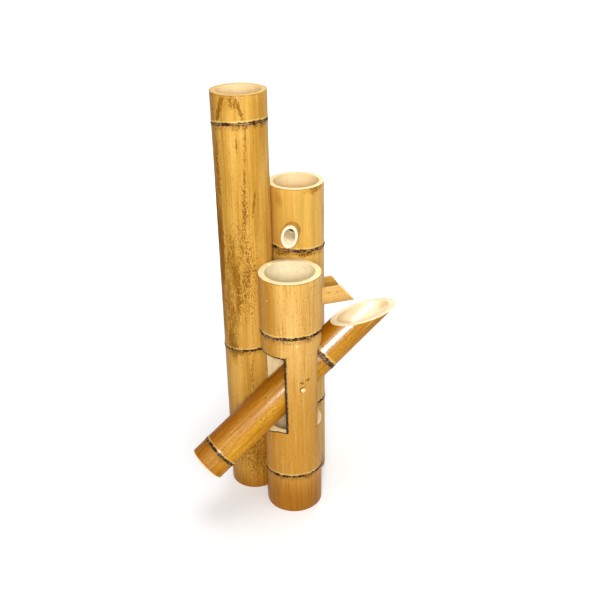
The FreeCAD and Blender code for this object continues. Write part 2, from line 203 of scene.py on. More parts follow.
def length(name, description, default):
    return number(name, description, default, min=0.0, unit="LENGTH", subtype="DISTANCE")


def angle(name, description, degrees):
    return number(name, description, math.radians(degrees), unit="ROTATION", subtype="ANGLE")


def point(name, description, default):
    return FloatVectorProperty(
        name=name, description=description, default=default, size=3, unit="LENGTH", subtype="TRANSLATION"
    )


def colour(name, description, default):
    return FloatVectorProperty(
        name=name, description=description, default=default, size=3, min=0.0, max=1.0, subtype="COLOR"
    )


class FountainSizes(bpy.types.PropertyGroup):
    """Sizes of the canes, the rocker and the small parts."""

    tall_place: point("Tall cane's place", "Middle of its foot", (-0.07007, 0.06115, 0.0))
    tall_top: length("Tall cane's height", "Height of its rim", TALL_TOP)
    tall_foot_radius: length("Tall cane's foot radius", "Skin radius at the foot", 0.0422)
    tall_top_radius: length("Tall cane's top radius", "Skin radius at the rim", 0.0423)
    tall_bore: length("Tall cane's bore", "Radius of its hollow", 0.03425)
    tall_lower_node: length("Tall cane's lower node", "Height of the lower node", 0.283)
    tall_upper_node: length("Tall cane's upper node", "Height of the upper node", 0.6595)

    spout_cane_place: point("Spout cane's place", "Middle of its foot", (0.0118, 0.09477, 0.0))
    spout_cane_top: length("Spout cane's height", "Height of its rim", SPOUT_CANE_TOP)
    spout_cane_foot_radius: length("Spout cane's foot radius", "Skin radius at the foot", 0.0448)
    spout_cane_top_radius: length("Spout cane's top radius", "Skin radius at the rim", 0.0448)
    spout_cane_bore: length("Spout cane's bore", "Radius of its hollow", 0.0363)
    spout_cane_lower_node: length("Spout cane's lower node", "Height of the lower node", 0.15)
    spout_cane_upper_node: length("Spout cane's upper node", "Height of the upper node", 0.44716)

    post_place: point("Post's place", "Middle of its foot", ORIGIN)
    post_top: length("Post's height", "Height of its rim", POST_TOP)
    post_foot_radius: length("Post's foot radius", "Skin radius at the foot", 0.0471)
    post_top_radius: length("Post's top radius", "Skin radius at the rim", 0.0493)
    post_bore: length("Post's bore", "Radius of its hollow", 0.0392)
    post_lower_node: length("Post's lower node", "Height of the lower node", 0.0743)
    post_upper_node: length("Post's upper node", "Height of the upper node", 0.34066)
    plate: length("Node plate", "Thickness of the wall across a cane at a node", 0.005)

    slot_head: length("Slot's head", "Height of the slot's upper edge on the tail side", 0.30346)
    slot_sill: length("Slot's sill", "Height of the slot's lower edge on the mouth side", 0.1645)
    slot_half_width: length("Slot's half width", "Half the width of the slot", 0.0392)
    slot_rounding: length("Slot's rounding", "Rounding of the slot's upper corners", 0.003)
    slot_low_line: length("Slot's low slope", "Height at which it meets the post's axis", 0.19454)
    slot_high_line: length("Slot's high slope", "Height at which it meets the post's axis", 0.28539)

    rocker_tilt: angle("Rocker's tilt", "Rise of the resting rocker towards its mouth", 38.2)
    rocker_yaw: angle("Rocker's yaw", "Turn of the rocker about the vertical", 22.0)
    rocker_drop: length("Rocker's drop", "Distance of its centre line below the pin", 0.0079)
    rocker_tail: length("Rocker's tail", "Length from the pin to the tail's end", 0.2026)
    rocker_mouth: length("Rocker's mouth", "Distance from the pin to the middle of the cut", 0.1574)
    rocker_mouth_angle: angle("Mouth's cut", "Angle between the cut and the rocker's axis", 30.6)
    rocker_mouth_roll: angle("Mouth's roll", "Roll of the mouth's cut about the axis", 2.9)
    rocker_tail_radius: length("Tail's radius", "Skin radius at the tail's end", 0.0314)
    rocker_mouth_radius: length("Mouth's radius", "Skin radius at the mouth's cut", 0.03)
    rocker_bore: length("Rocker's bore", "Radius of its hollow", 0.0242)
    rocker_tail_node: length("Tail's node", "Distance of the tail's node from the pin", 0.1713)
    rocker_water_node: length("Water node", "Distance of the chamber's floor from the pin", 0.0582)

    pin_radius: length("Pin's radius", "Radius of the pivot pin", 0.004)
    peg_radius: length("Peg's radius", "Radius of the pegs that join the canes", 0.005)
    low_peg_height: length("Low pegs", "Height of the low pegs", 0.1194)
    high_peg_height: length("High pegs", "Height of the high pegs", 0.32206)
    fit: length("Glued fit", "Room round a pin, peg or spout in its hole", 0.00005)

    pour_height: length("Pour spout's height", "Height of its axis", 0.48216)
    pour_radius: length("Pour spout's radius", "Outer radius", 0.013)
    pour_bearing: angle("Pour spout's bearing", "Direction that it points in", 261.3)
    feed_height: length("Feed spout's height", "Height of its axis", 0.38176)
    feed_radius: length("Feed spout's radius", "Outer radius", 0.0136)
    feed_bearing: angle("Feed spout's bearing", "Direction that it points in", 17.8)
    spout_wall: length("Spout's wall", "Wall of both spouts", 0.0038)
    rod_height: length("Cross rod's height", "Height of its axis", 0.358)
    rod_radius: length("Cross rod's radius", "Outer radius", 0.0105)
    rod_wall: length("Cross rod's wall", "Wall of the rod", 0.0035)
    notch_radius: length("Hose notch", "Half the width of the arch for the hose tail", 0.0105)
    hose_height: length("Hose tail's height", "Height of its axis", 0.016)


class FountainColours(bpy.types.PropertyGroup):
    """Colours of the bamboo, the wood, the pipe and the floor."""

    # The *_shade colours paint the patches and, where a skin's side is given, also the painted shade on one
    # side of the piece.
    tall_skin: colour("Tall cane", "Skin of the tall cane", (0.77, 0.43, 0.085))
    tall_shade: colour("Tall cane's patches", "Patches on the tall cane", (0.48, 0.215, 0.010))
    spout_cane_skin: colour("Spout cane", "Skin of the spout cane", (0.82, 0.46, 0.09))
    spout_cane_shade: colour("Spout cane's patches", "Patches on the spout cane", (0.56, 0.33, 0.05))
    post_skin: colour("Post", "Skin of the post", (0.86, 0.52, 0.15))
    post_shade: colour("Post's patches", "Patches on the post", (0.52, 0.225, 0.012))
    rocker_skin: colour("Rocker", "Skin of the rocker", (0.65, 0.30, 0.014))
    rocker_shade: colour("Rocker's patches", "Patches on the rocker", (0.36, 0.115, 0.0005))
    pour_skin: colour("Pour spout", "Skin of the pour spout", (0.50, 0.29, 0.06))
    feed_skin: colour("Feed spout", "Skin of the feed spout", (0.72, 0.435, 0.125))
    rod_skin: colour("Cross rod", "Skin of the cross rod", (0.62, 0.33, 0.05))
    foot: colour("Foot", "Skin near the ground", (0.40, 0.145, 0.003))
    stain: colour("Stain", "Brown speckles and stains", (0.24, 0.092, 0.006))
    ring: colour("Ring", "Dark band at a node", (0.030, 0.014, 0.006))
    dust: colour("Dust", "Grey dust in a dark band", (0.42, 0.27, 0.16))
    pale_line: colour("Pale line", "Pale line above a dark band", (0.90, 0.68, 0.24))
    cut: colour("Cut bamboo", "Cut ends and edges", (0.98, 0.84, 0.49))
    old_cut: colour("Weathered cut", "Rim of the tall cane", (0.80, 0.53, 0.18))
    fresh_cut: colour("Fresh cut", "Cut face of the mouth", (0.97, 0.86, 0.58))
    pour_cut: colour("Pour spout's cut", "Cut end of the pour spout", (0.90, 0.77, 0.58))
    fibre: colour("Fibre ends", "Dots of the fibres in a cut", (0.70, 0.42, 0.14))
    inside: colour("Inside", "Pale film inside the post's cup", (0.98, 0.88, 0.60))
    old_inside: colour("Old inside", "Film inside the rear canes and behind the slot", (0.98, 0.78, 0.46))
    fresh_inside: colour("Fresh inside", "Pale film inside the rocker", (0.98, 0.82, 0.54))
    small_inside: colour("Small bores", "Film inside the spouts and the rod", (0.98, 0.86, 0.66))
    wood: colour("Pegs", "Split bamboo of the pegs", (0.92, 0.76, 0.43))
    pipe: colour("Pipe", "Riser pipe", (0.045, 0.045, 0.045))
    rubber: colour("Grommet", "Rubber grommet", (0.025, 0.025, 0.027))
    brass: colour("Elbow", "Brass of the hose elbow", (0.66, 0.46, 0.17))
    floor: colour("Floor", "Plain pale floor", (0.86, 0.86, 0.86))


class FountainStage(bpy.types.PropertyGroup):
    """Camera and lamps."""

    camera_place: point("Camera", "Where the camera stands", (0.0152, -1.17603, 0.98073))
    camera_pitch: angle("Camera's pitch", "How far the camera looks down", 26.91)
    camera_roll: angle("Camera's roll", "Roll about the line of sight", -1.01)
    lens: number("Lens", "Focal length", 50.564, unit="CAMERA")
    key_power: number("Key lamp", "Power of the lamp near the camera", 9.0)
    low_power: number("Low lamp", "Power of the small lamp below the camera", 5.8)
    left_power: number("Left lamp", "Power of the soft lamp on the left", 1.2)
    right_power: number("Right lamp", "Power of the soft lamp on the right", 0.7)
    top_power: number("Top lamp", "Power of the soft lamp above", 17.0)
    back_power: number("Back lamp", "Power of the soft lamp behind", 22.0)
    sky: number("Surrounding light", "Strength of the even light", 0.16)


# Shader helpers


class Wire:
    """Output of a shader node that adds, subtracts and multiplies like a number."""

    def __init__(self, tree, socket):
        self.tree, self.socket = tree, socket

    def __add__(self, other):
        return calc("ADD", self, other)

    def __sub__(self, other):
        return calc("SUBTRACT", self, other)

    def __rsub__(self, other):
        return calc("SUBTRACT", other, self)

    def __mul__(self, other):
        return calc("MULTIPLY", self, other)

    def __abs__(self):
        return calc("ABSOLUTE", self)


def fill(socket, value):
    """Link a wire to a socket or give it a plain value; a colour may come without its alpha."""
    if isinstance(value, Wire):
        value.tree.links.new(value.socket, socket)
    elif socket.type == "RGBA" and len(value) == 3:
        socket.default_value = (*value, 1.0)
    else:
        socket.default_value = value


def add(tree, kind, inputs=None, output=0, **settings):
    """Add a shader node, set its properties, fill its inputs and hand out one of its outputs."""
    node = tree.nodes.new(kind)
    for name, value in settings.items():
        setattr(node, name, value)
    for name, value in (inputs or {}).items():
        fill(node.inputs[name], value)
    return Wire(tree, node.outputs[output])


def calc(operation, *values, clamp=False):
    tree = next(value.tree for value in values if isinstance(value, Wire))
    return add(tree, "ShaderNodeMath", dict(enumerate(values)), operation=operation, use_clamp=clamp)


def most(first, *others):
    """Largest of several values."""
    for other in others:
        first = calc("MAXIMUM", first, other)
    return first


def vector_calc(operation, first, second=ORIGIN, output="Vector"):
    return add(first.tree, "ShaderNodeVectorMath", {0: first, 1: second}, output, operation=operation)


def dot(first, second):
    return vector_calc("DOT_PRODUCT", first, second, "Value")


def length_of(place):
    return vector_calc("LENGTH", place, output="Value")


def part_of(place, axis):
    return add(place.tree, "ShaderNodeSeparateXYZ", {0: place}, axis)


def ease(value, start, end, low=0.0, high=1.0):
    """Smooth step of a value from start to end."""
    inputs = {"Value": value, "From Min": start, "From Max": end, "To Min": low, "To Max": high}
    return add(value.tree, "ShaderNodeMapRange", inputs, "Result", interpolation_type="SMOOTHSTEP")


def mix(factor, first, second):
    inputs = {0: factor, 6: first, 7: second}
    return add(factor.tree, "ShaderNodeMix", inputs, 2, data_type="RGBA", clamp_factor=True)


def grain_noise(place, stretch, scale, seed=0.0, detail=2.0, roughness=0.5):
    """Noise whose grain is stretched along Z by the inverse of stretch."""
    flat = vector_calc("MULTIPLY", place, (1.0, 1.0, stretch))
    inputs = {"Vector": flat, "W": seed, "Scale": scale, "Detail": detail, "Roughness": roughness}
    return add(place.tree, "ShaderNodeTexNoise", inputs, noise_dimensions="4D")


def from_base(place, base, turn):
    """Place measured from a base along turned axes."""
    inputs = {"Vector": place, "Location": base, "Rotation": turn}
    return add(place.tree, "ShaderNodeMapping", inputs, vector_type="TEXTURE")


def label(key):
    """Name of a socket: foot_colour becomes Foot Colour."""
    return key.replace("_", " ").title()


def new_group(name, **inputs):
    """Empty shader node group; each input's kind follows from its default. It hands out the inputs."""
    tree = bpy.data.node_groups.new(name, "ShaderNodeTree")
    for key, default in inputs.items():
        kind = "Float" if isinstance(default, float) else {3: "Vector", 4: "Color"}[len(default)]
        socket = tree.interface.new_socket(name=label(key), in_out="INPUT", socket_type="NodeSocket" + kind)
        socket.default_value = default
    given = tree.nodes.new("NodeGroupInput").outputs
    return [Wire(tree, given[label(key)]) for key in inputs]


def put_out(**results):
    """Give a group its outputs."""
    tree = next(iter(results.values())).tree
    for key in results:
        kind = "Color" if key == "colour" else "Float"
        tree.interface.new_socket(name=label(key), in_out="OUTPUT", socket_type="NodeSocket" + kind)
    wanted = tree.nodes.new("NodeGroupOutput").inputs
    for key, value in results.items():
        fill(wanted[label(key)], value)
    return tree


def use(name, place, **values):
    """Place a shared group, made on first use, with its own values; it hands out the group's outputs."""
    node = place.tree.nodes.new("ShaderNodeGroup")
    node.node_tree = bpy.data.node_groups.get(name) or GROUP_MAKERS[name](name)
    for key, value in {"place": place, **values}.items():
        fill(node.inputs[label(key)], value)
    return {socket.name: Wire(place.tree, socket) for socket in node.outputs}


# Shared shader groups

TAN = (0.7, 0.4, 0.1, 1.0)
BROWN = (0.2, 0.08, 0.02, 1.0)


def make_smear(name):
    """Ragged mark of a given place, turn and size on a surface."""
    place, centre, turn, size, ragged, softness = new_group(
        name, place=ORIGIN, centre=ORIGIN, turn=ORIGIN, size=(0.01, 0.01, 0.01), ragged=0.4, softness=0.3
    )
    away = length_of(vector_calc("DIVIDE", from_base(place, centre, turn), size))
    grain = grain_noise(place, 0.5, 500.0, detail=3.0, roughness=0.6)
    return put_out(mask=ease(away + (grain - 0.5) * ragged * 2.0, 1.0 - softness, 1.0, 1.0, 0.0))


def make_ring(name):
    """Dark band, pale line and blotches round one node of a cane."""
    place, height, slant, width, seed = new_group(
        name, place=ORIGIN, height=0.1, slant=ORIGIN, width=0.004, seed=0.0
    )
    wave = grain_noise(place, 0.3, 60.0, seed)
    ragged = ease(grain_noise(place, 0.8, 330.0, seed, 3.0, 0.6), 0.35, 0.65)
    gap = part_of(place, "Z") - height - dot(place, slant) + (wave - 0.5) * 0.0045
    middle = abs(gap - 0.0004)
    half = width * (ragged * 0.45 + 0.38)
    dark = ease(middle, half * 0.7, half, 1.0, 0.0)
    core = ease(middle, half * 0.1, half * 0.5, 0.75, 0.0) * ease(wave, 0.48, 0.58)
    pale = ease(abs(gap - width * 0.8), width * 0.1, width * 0.4, 1.0, 0.0)
    zone = ease(abs(gap + width * 0.7), width * 0.3, width * 1.5, 1.0, 0.0)
    return put_out(
        dark=calc("SUBTRACT", dark, core, clamp=True), pale=pale * ease(wave, 0.3, 0.6, 0.3, 1.0),
        blotch=zone * ease(wave * 1.6 + ragged * 0.4, 1.0, 1.15, 0.22, 1.0),
    )


def make_skin(name):
    """Bamboo skin along Z: fibre streaks, patches, speckles, dark rings, a dark foot and a worn rim, with a
    darker tone towards the bottom and painted shade on the side that the side input points to.
    """
    place, seed, skin, shade, foot_colour, stain_colour, *rest = new_group(
        name, place=ORIGIN, seed=0.0, skin=TAN, shade=TAN, foot_colour=BROWN, stain_colour=BROWN,
        ring_colour=BROWN, pale_colour=TAN, dust_colour=TAN, patches=0.6, streaks=0.5, stain_zone=0.0,
        speckles=0.15, foot_height=0.05, fall_height=0.3, fall=0.0, top=0.5, gloss=0.35, side=ORIGIN,
        lower_ring=0.1, lower_slant=ORIGIN, lower_width=0.004, upper_ring=0.4, upper_slant=ORIGIN,
        upper_width=0.004,
    )
    ring_colour, pale_colour, dust_colour, patches, streaks, stain_zone, speckles, *rest = rest
    foot_height, fall_height, fall, top, gloss, side, *rings = rest
    height = part_of(place, "Z")
    coarse = grain_noise(place, 0.03, 300.0, seed, 2.0, 0.55)
    lines = coarse * 0.55 + grain_noise(place, 0.02, 1100.0, seed, 2.0, 0.6) * 0.45
    patch = grain_noise(place, 0.28, 26.0, seed, 3.0, 0.55)
    strip = grain_noise(place, 0.05, 70.0, seed)

    tone = ease(strip * 0.6 + patch * 0.4, 0.40, 0.62) * patches
    fallen = ease(height, fall_height - 0.25, fall_height, 1.0, 0.0) * fall
    # The shade colour comes in by patches, towards the bottom, and as painted shade on the side that side
    # points to.
    tint = mix(most(tone, ease(dot(place, side), 0.35, 1.1), fallen), skin, shade)
    tint = mix(ease(lines, 0.48, 0.66) * streaks, tint, shade)
    tint = mix(ease(lines, 0.48, 0.34) * streaks * 0.45, tint, pale_colour)
    tint = mix(ease(lines, 0.55, 0.68) * streaks * 0.35, tint, stain_colour)

    speck_noise = grain_noise(place, 0.5, 420.0, seed, 3.0, 0.65)
    pore_noise = grain_noise(place, 0.35, 900.0, seed)
    cloud = grain_noise(place, 0.22, 60.0, seed, 3.0, 0.6)
    zone = stain_zone * ease(cloud, 0.30, 0.55, 0.35, 1.0)
    start = 0.73 - zone * 0.235 - speckles * 0.12
    speck = most(ease(speck_noise, start, start + 0.07), ease(pore_noise, start, start + 0.06) * 0.8)
    stain = speck * ease(cloud, 0.3, 0.60, 0.50, 0.92)
    tint = mix(zone * 0.5, tint, shade)
    tint = mix(stain, tint, stain_colour)

    foot = ease(height + (patch - 0.5) * 0.06, foot_height - 0.06, foot_height, 0.9, 0.0)
    tint = mix(foot, tint, foot_colour)
    tint = mix(foot * ease(lines, 0.48, 0.60, 0.0, 0.6), tint, stain_colour)

    bands = [
        use("Node Ring", place, height=ring, slant=slant, width=width, seed=seed + shift)
        for (ring, slant, width), shift in ((rings[:3], 0.3), (rings[3:], 4.1))
    ]
    pale, dark, blotch = (most(bands[0][part], bands[1][part]) for part in ("Pale", "Dark", "Blotch"))
    tint = mix(pale * 0.6, tint, pale_colour)
    tint = mix(blotch * 0.85, tint, stain_colour)
    band_tint = mix(ease(pore_noise, 0.52, 0.64, 0.0, 0.6), ring_colour, stain_colour)
    dusty = ease(speck_noise, 0.46, 0.60) * ease(cloud, 0.38, 0.56)
    tint = mix(dark, tint, mix(dusty * 0.8, band_tint, dust_colour))

    rim = ease(top - height, 0.0002, 0.0024, 1.0, 0.0)
    tint = mix(rim * ease(cloud, 0.40, 0.60, 0.1, 0.8), tint, stain_colour)
    dull = most(stain, dark)
    return put_out(
        colour=tint, roughness=calc("ADD", dull * 0.35, patch * 0.10 + gloss, clamp=True),
        height=dark * pore_noise * -1.2 + speck * -0.3 + lines * 0.6, bare=1.0 - dull,
    )


def make_cut(name):
    """Cut bamboo: pale pith with fibre ends that crowd towards the skin and are drawn out along Z."""
    place, cut, fibre, edge, bore, skin = new_group(
        name, place=ORIGIN, cut=TAN, fibre=TAN, edge=BROWN, bore=0.03, skin=0.04
    )
    radius = length_of(vector_calc("MULTIPLY", place, (1.0, 1.0, 0.0)))
    inputs = {"Value": radius, "From Min": bore, "From Max": skin}
    share = add(place.tree, "ShaderNodeMapRange", inputs, "Result")
    drawn = vector_calc("MULTIPLY", place, (1.0, 1.0, 0.035))
    cells = add(place.tree, "ShaderNodeTexVoronoi", {"Vector": drawn, "Scale": 1050.0}, "Distance")
    size = share * 0.20 + 0.14
    dots = ease(cells, size * 0.6, size, 1.0, 0.0)
    cloud = grain_noise(place, 0.3, 90.0, 2.0, 3.0, 0.6)
    grain = grain_noise(place, 0.03, 900.0, 5.0, 2.0, 0.6)
    tint = mix(ease(cloud, 0.4, 0.75, 0.0, 0.35), cut, fibre)
    tint = mix(dots * (share * 0.4 + 0.25), tint, fibre)
    tint = mix(ease(grain, 0.5, 0.7) * 0.25, tint, fibre)
    tint = mix(ease(share + cloud * 0.06, 0.97, 1.05) * 0.7, tint, edge)
    return put_out(colour=tint, roughness=cloud * 0.25 + 0.55, height=grain * 0.5 + dots * -0.4)


def make_inside(name):
    """Pale film inside a cane, wrinkled along it."""
    place, film, shade, stains, seed = new_group(
        name, place=ORIGIN, film=TAN, shade=BROWN, stains=0.3, seed=0.0
    )
    wrinkle = grain_noise(place, 0.06, 620.0, seed, 2.0, 0.6)
    cloud = grain_noise(place, 0.4, 45.0, seed, 3.0, 0.6)
    speck = grain_noise(place, 0.7, 260.0, seed, 4.0, 0.7)
    tint = mix(ease(cloud, 0.42, 0.75, 0.0, 0.2), film, shade)
    tint = mix(ease(wrinkle, 0.5, 0.72) * 0.15, tint, shade)
    tint = mix(ease(speck, 0.55, 0.66) * stains, tint, shade)
    return put_out(colour=tint, roughness=cloud * 0.2 + 0.5, height=wrinkle)


def make_slot_edge(name):
    """Thin dark line on the skin along the edges of the rocker's slot, fainter on the mouth's side; partly a
    dirty edge, partly painted shade in the gap beside the rocker.
    """
    place, yaw, slope, half_width, head, sill, high_line, low_line, width = new_group(
        name, place=ORIGIN, yaw=0.0, slope=0.8, half_width=0.04, head=0.3, sill=0.16, high_line=0.28,
        low_line=0.19, width=0.003,
    )
    inputs = {"Vector": place, "Angle": yaw * -1.0}
    turned = add(place.tree, "ShaderNodeVectorRotate", inputs, rotation_type="Z_AXIS")
    x, y, z = (part_of(turned, axis) for axis in "XYZ")
    high = most(head, x * slope + high_line)
    low = calc("MINIMUM", sill, x * slope + low_line)
    ragged = grain_noise(place, 0.6, 300.0, 3.0, 3.0, 0.6)
    reach = width * (ragged * 1.2 + 0.4)
    near = ease(most(abs(y) - half_width, z - high, low - z), reach * 0.5, reach, 1.0, 0.0)
    return put_out(mask=near * ease(x, -0.010, 0.010, 1.0, 0.25) * ease(ragged, 0.3, 0.45, 0.7, 1.0))


GROUP_MAKERS = {
    "Smear": make_smear, "Node Ring": make_ring, "Bamboo Skin": make_skin, "Cut Bamboo": make_cut,
    "Bamboo Inside": make_inside, "Slot Edge": make_slot_edge,
}


# Materials; an axis is the base and the turn of a piece's own Z


def new_material(name, **shader):
    """Material and its Principled shader, whose plain values are set on its own sockets."""
    material = bpy.data.materials.new(name)
    material.use_nodes = True
    principled = material.node_tree.nodes["Principled BSDF"]
    for socket, value in shader.items():
        principled.inputs[socket.replace("_", " ")].default_value = value
    return material, principled


def connect(principled, shown, bump, bump_height):
    """Lead a colour, a roughness and a height into the shader."""
    inputs = {"Height": shown["Height"], "Strength": bump, "Distance": bump_height}
    fill(principled.inputs["Base Color"], shown["Colour"])
    fill(principled.inputs["Roughness"], shown["Roughness"])
    fill(principled.inputs["Normal"], add(shown["Height"].tree, "ShaderNodeBump", inputs))


def object_place(material):
    return add(material.node_tree, "ShaderNodeTexCoord", output="Object")


def cane_place(material, axis):
    """Place on a cane in its own measure: Z along the cane from its base."""
    return from_base(object_place(material), *axis)


def smears(place, marks):
    """Strongest of several marks from one of the tables."""
    masks = []
    for centre, degrees, size, ragged, softness, strength in marks:
        turn = (0.0, math.radians(degrees), 0.0)
        mark = use("Smear", place, centre=centre, turn=turn, size=size, ragged=ragged, softness=softness)
        masks.append(mark["Mask"] * strength)
    return most(*masks)


def overlay(material, mask, tint):
    """Paint a colour over what a material shows, where a mask says so."""
    base = material.node_tree.nodes["Principled BSDF"].inputs["Base Color"]
    fill(base, mix(mask, Wire(mask.tree, base.links[0].from_socket), tint))


def paint_marks(material, axis, marks, tint):
    overlay(material, smears(cane_place(material, axis), marks), tint)


def skin_material(name, axis, zones=(), coat=0.15, bump=0.3, **values):
    """Bamboo skin of one cane with its own rings and stained zones."""
    colours = bpy.context.scene.fountain_colours
    material, principled = new_material(name, Coat_Roughness=0.3, Specular_IOR_Level=0.06)
    place = cane_place(material, axis)
    if zones:
        values["stain_zone"] = smears(place, zones)
    shown = use(
        "Bamboo Skin", place, foot_colour=colours.foot, stain_colour=colours.stain, ring_colour=colours.ring,
        pale_colour=colours.pale_line, dust_colour=colours.dust, **values,
    )
    connect(principled, shown, bump, 0.0004)
    fill(principled.inputs["Coat Weight"], shown["Bare"] * coat)
    return material


def cut_material(name, axis, bore, skin_radius, tint, edge=None):
    colours = bpy.context.scene.fountain_colours
    material, principled = new_material(name, Specular_IOR_Level=0.1)
    shown = use(
        "Cut Bamboo", cane_place(material, axis), cut=tint, fibre=colours.fibre, edge=edge or colours.stain,
        bore=bore, skin=skin_radius,
    )
    connect(principled, shown, 0.3, 0.0004)
    return material


def inside_material(name, axis, seed, tint, stains=0.3, coat=0.0):
    material, principled = new_material(
        name, Specular_IOR_Level=0.05, Coat_Weight=coat, Coat_Roughness=0.38, Coat_IOR=2.0
    )
    shade = bpy.context.scene.fountain_colours.fibre
    shown = use("Bamboo Inside", cane_place(material, axis), film=tint, shade=shade, stains=stains, seed=seed)
    connect(principled, shown, 0.25, 0.0005)
    return material


def plain_material(name, tint, roughness, grain, contrast=0.25, bump=0.15, metallic=0.0):
    """Lightly mottled material for the small turned and moulded parts."""
    material, principled = new_material(name, Metallic=metallic, IOR=1.45)
    mottle = grain_noise(object_place(material), 1.0, grain, 1.0, 3.0, 0.6)
    darker = [part * (1.0 - contrast) for part in tint]
    lighter = [min(1.0, part * (1.0 + contrast)) for part in tint]
    shown = {
        "Colour": mix(ease(mottle, 0.3, 0.7), darker, lighter), "Height": mottle,
        "Roughness": mottle * 0.25 + (roughness - 0.12),
    }
    connect(principled, shown, bump, 0.0003)
    return material


# Shaping helpers


def levels(start, end, spacing=0.011):
    """Heights from start up to but without end, evenly spaced."""
    count = max(1, math.ceil(abs(end - start) / spacing))
    return [start + (end - start) * step / count for step in range(count)]


def revolve(outline, steps):
    """Closed solid from an outline of radius and height, turned about Z."""
    bm = bmesh.new()
    verts = [bm.verts.new((radius, 0.0, height)) for radius, height in outline]
    edges = [bm.edges.new(pair) for pair in zip(verts, verts[1:])]
    bmesh.ops.spin(
        bm, geom=verts + edges, cent=(0, 0, 0), axis=(0, 0, 1), angle=math.tau, steps=steps, use_merge=True
    )
    bmesh.ops.remove_doubles(bm, verts=bm.verts, dist=TINY)
    bmesh.ops.recalc_face_normals(bm, faces=bm.faces)
    return bm


def skin_outline(low, high, low_radius, high_radius, nodes, foot_rounding):
    """Skin of a cane from its lower to its upper edge, with the shape of each node."""
    def radius_at(height):
        return low_radius + (high_radius - low_radius) * (height - low) / (high - low)

    start = low + foot_rounding
    heights = [(start, 0.0)]
    for node in nodes:
        heights += [(height, 0.0) for height in levels(start, node + NODE_SHAPE[0][0])][1:]
        heights += [(node + height, rise) for height, rise in NODE_SHAPE]
        start = node + NODE_SHAPE[-1][0]
    heights += [(height, 0.0) for height in levels(start, high - ROUNDING)][1:]
    heights.append((high - ROUNDING, 0.0))
    outline = [(radius_at(height) + rise, height) for height, rise in heights]
    top = (radius_at(high) - ROUNDING * 0.3, high - ROUNDING * 0.35)
    foot = (radius_at(low) - foot_rounding * 0.3, low + foot_rounding * 0.35)
    return [(radius_at(low) - foot_rounding, low), foot] + outline + [top, (radius_at(high) - ROUNDING, high)]


def node_plate(bore, level, side):
    """From a bore round the corner to the middle of a node plate; side is 1 where the hollow is above."""
    corner = [(bore, level + side * CORNER), (bore - 0.0008, level + side * 0.001), (bore - CORNER, level)]
    return corner + [(bore * 0.5, level), (0.0, level)]


def hollow_outline(open_end, floor, bore):
    """Inside of a cane from its open end to the node plate that closes it."""
    side = 1.0 if open_end > floor else -1.0
    heights = levels(open_end - side * ROUNDING, floor + side * CORNER, INNER_SPACING)
    wall = [(bore, height) for height in heights]
    return [(bore + ROUNDING, open_end), *wall, *node_plate(bore, floor, side)]


def chamber(low, high, bore):
    """Closed hollow between two node plates."""
    wall = [(bore, height) for height in levels(low + CORNER, high - CORNER, INNER_SPACING)]
    return revolve(node_plate(bore, low, 1.0)[:0:-1] + wall + node_plate(bore, high, -1.0), STEPS)


def make_blank(low, high, low_radius, high_radius, bore, nodes, plate, foot_rounding=ROUNDING):
    """Cane about Z, open at both ends, closed by its first and last node's plates."""
    foot = hollow_outline(low, nodes[0] - plate / 2, bore)
    cup = hollow_outline(high, nodes[-1] + plate / 2, bore)
    skin = skin_outline(low, high, low_radius, high_radius, nodes, foot_rounding)
    bm = revolve(foot[::-1] + skin + cup, STEPS)
    worn = 1.0 if foot_rounding > ROUNDING else 0.3
    for face in bm.faces:
        middle = face.calc_center_median()
        radius = math.hypot(middle.x, middle.y)
        at_end = middle.z < low + foot_rounding * worn or middle.z > high - ROUNDING * 0.3
        near_end = middle.z < low + ROUNDING or middle.z > high - ROUNDING
        if radius < bore + ON_EDGE:
            face.material_index = 2
        elif at_end or (near_end and radius < bore + ROUNDING):
            face.material_index = 1
    return bm


def weather(bm, seed, amount, across=1.1, along=7.0):
    """Make a turned cane slightly uneven, by the same amount inside and outside."""
    for vert in bm.verts:
        radius = math.hypot(vert.co.x, vert.co.y)
        if radius < ON_END:
            continue
        way = Vector((vert.co.x, vert.co.y, 0.0)) / radius
        spot = Vector((way.x * across, way.y * across, vert.co.z * along))
        shift = noise.noise(spot + Vector((seed, 0.0, 0.0)))
        vert.co += way * (shift * amount)


def slant_ring(bm, node, line, reach=0.022):
    """Move the skin's level ring at a node onto its slanted line."""
    middle, slope = line
    for vert in bm.verts:
        gap = abs(vert.co.z - node)
        if gap < reach:
            fade = 0.5 + 0.5 * math.cos(math.pi * gap / reach)
            vert.co.z += (middle - node + vert.co.x * slope[0] + vert.co.y * slope[1]) * fade


def slice_end(bm, distance, cut_angle, roll=0.0, rounding=0.0003):
    """Cut a tube's upper end off slantwise and close the wall between its skin and its bore."""
    across = math.cos(cut_angle)
    normal = Vector((-across * math.cos(roll), -across * math.sin(roll), math.sin(cut_angle)))
    bmesh.ops.bisect_plane(
        bm, geom=bm.verts[:] + bm.edges[:] + bm.faces[:], dist=TINY, plane_co=(0, 0, distance),
        plane_no=normal, clear_outer=True,
    )
    border = [edge for edge in bm.edges if edge.is_boundary]
    made = bmesh.ops.bridge_loops(bm, edges=border)["faces"]
    for face in made:
        face.material_index = 1
    rounded = bmesh.ops.bevel(
        bm, geom=[edge for edge in border if edge.is_valid], offset=rounding, segments=2, affect="EDGES",
        profile=0.5, material=-1, clamp_overlap=True,
    )
    for face in rounded["faces"]:
        face.material_index = 1
    bmesh.ops.recalc_face_normals(bm, faces=bm.faces)


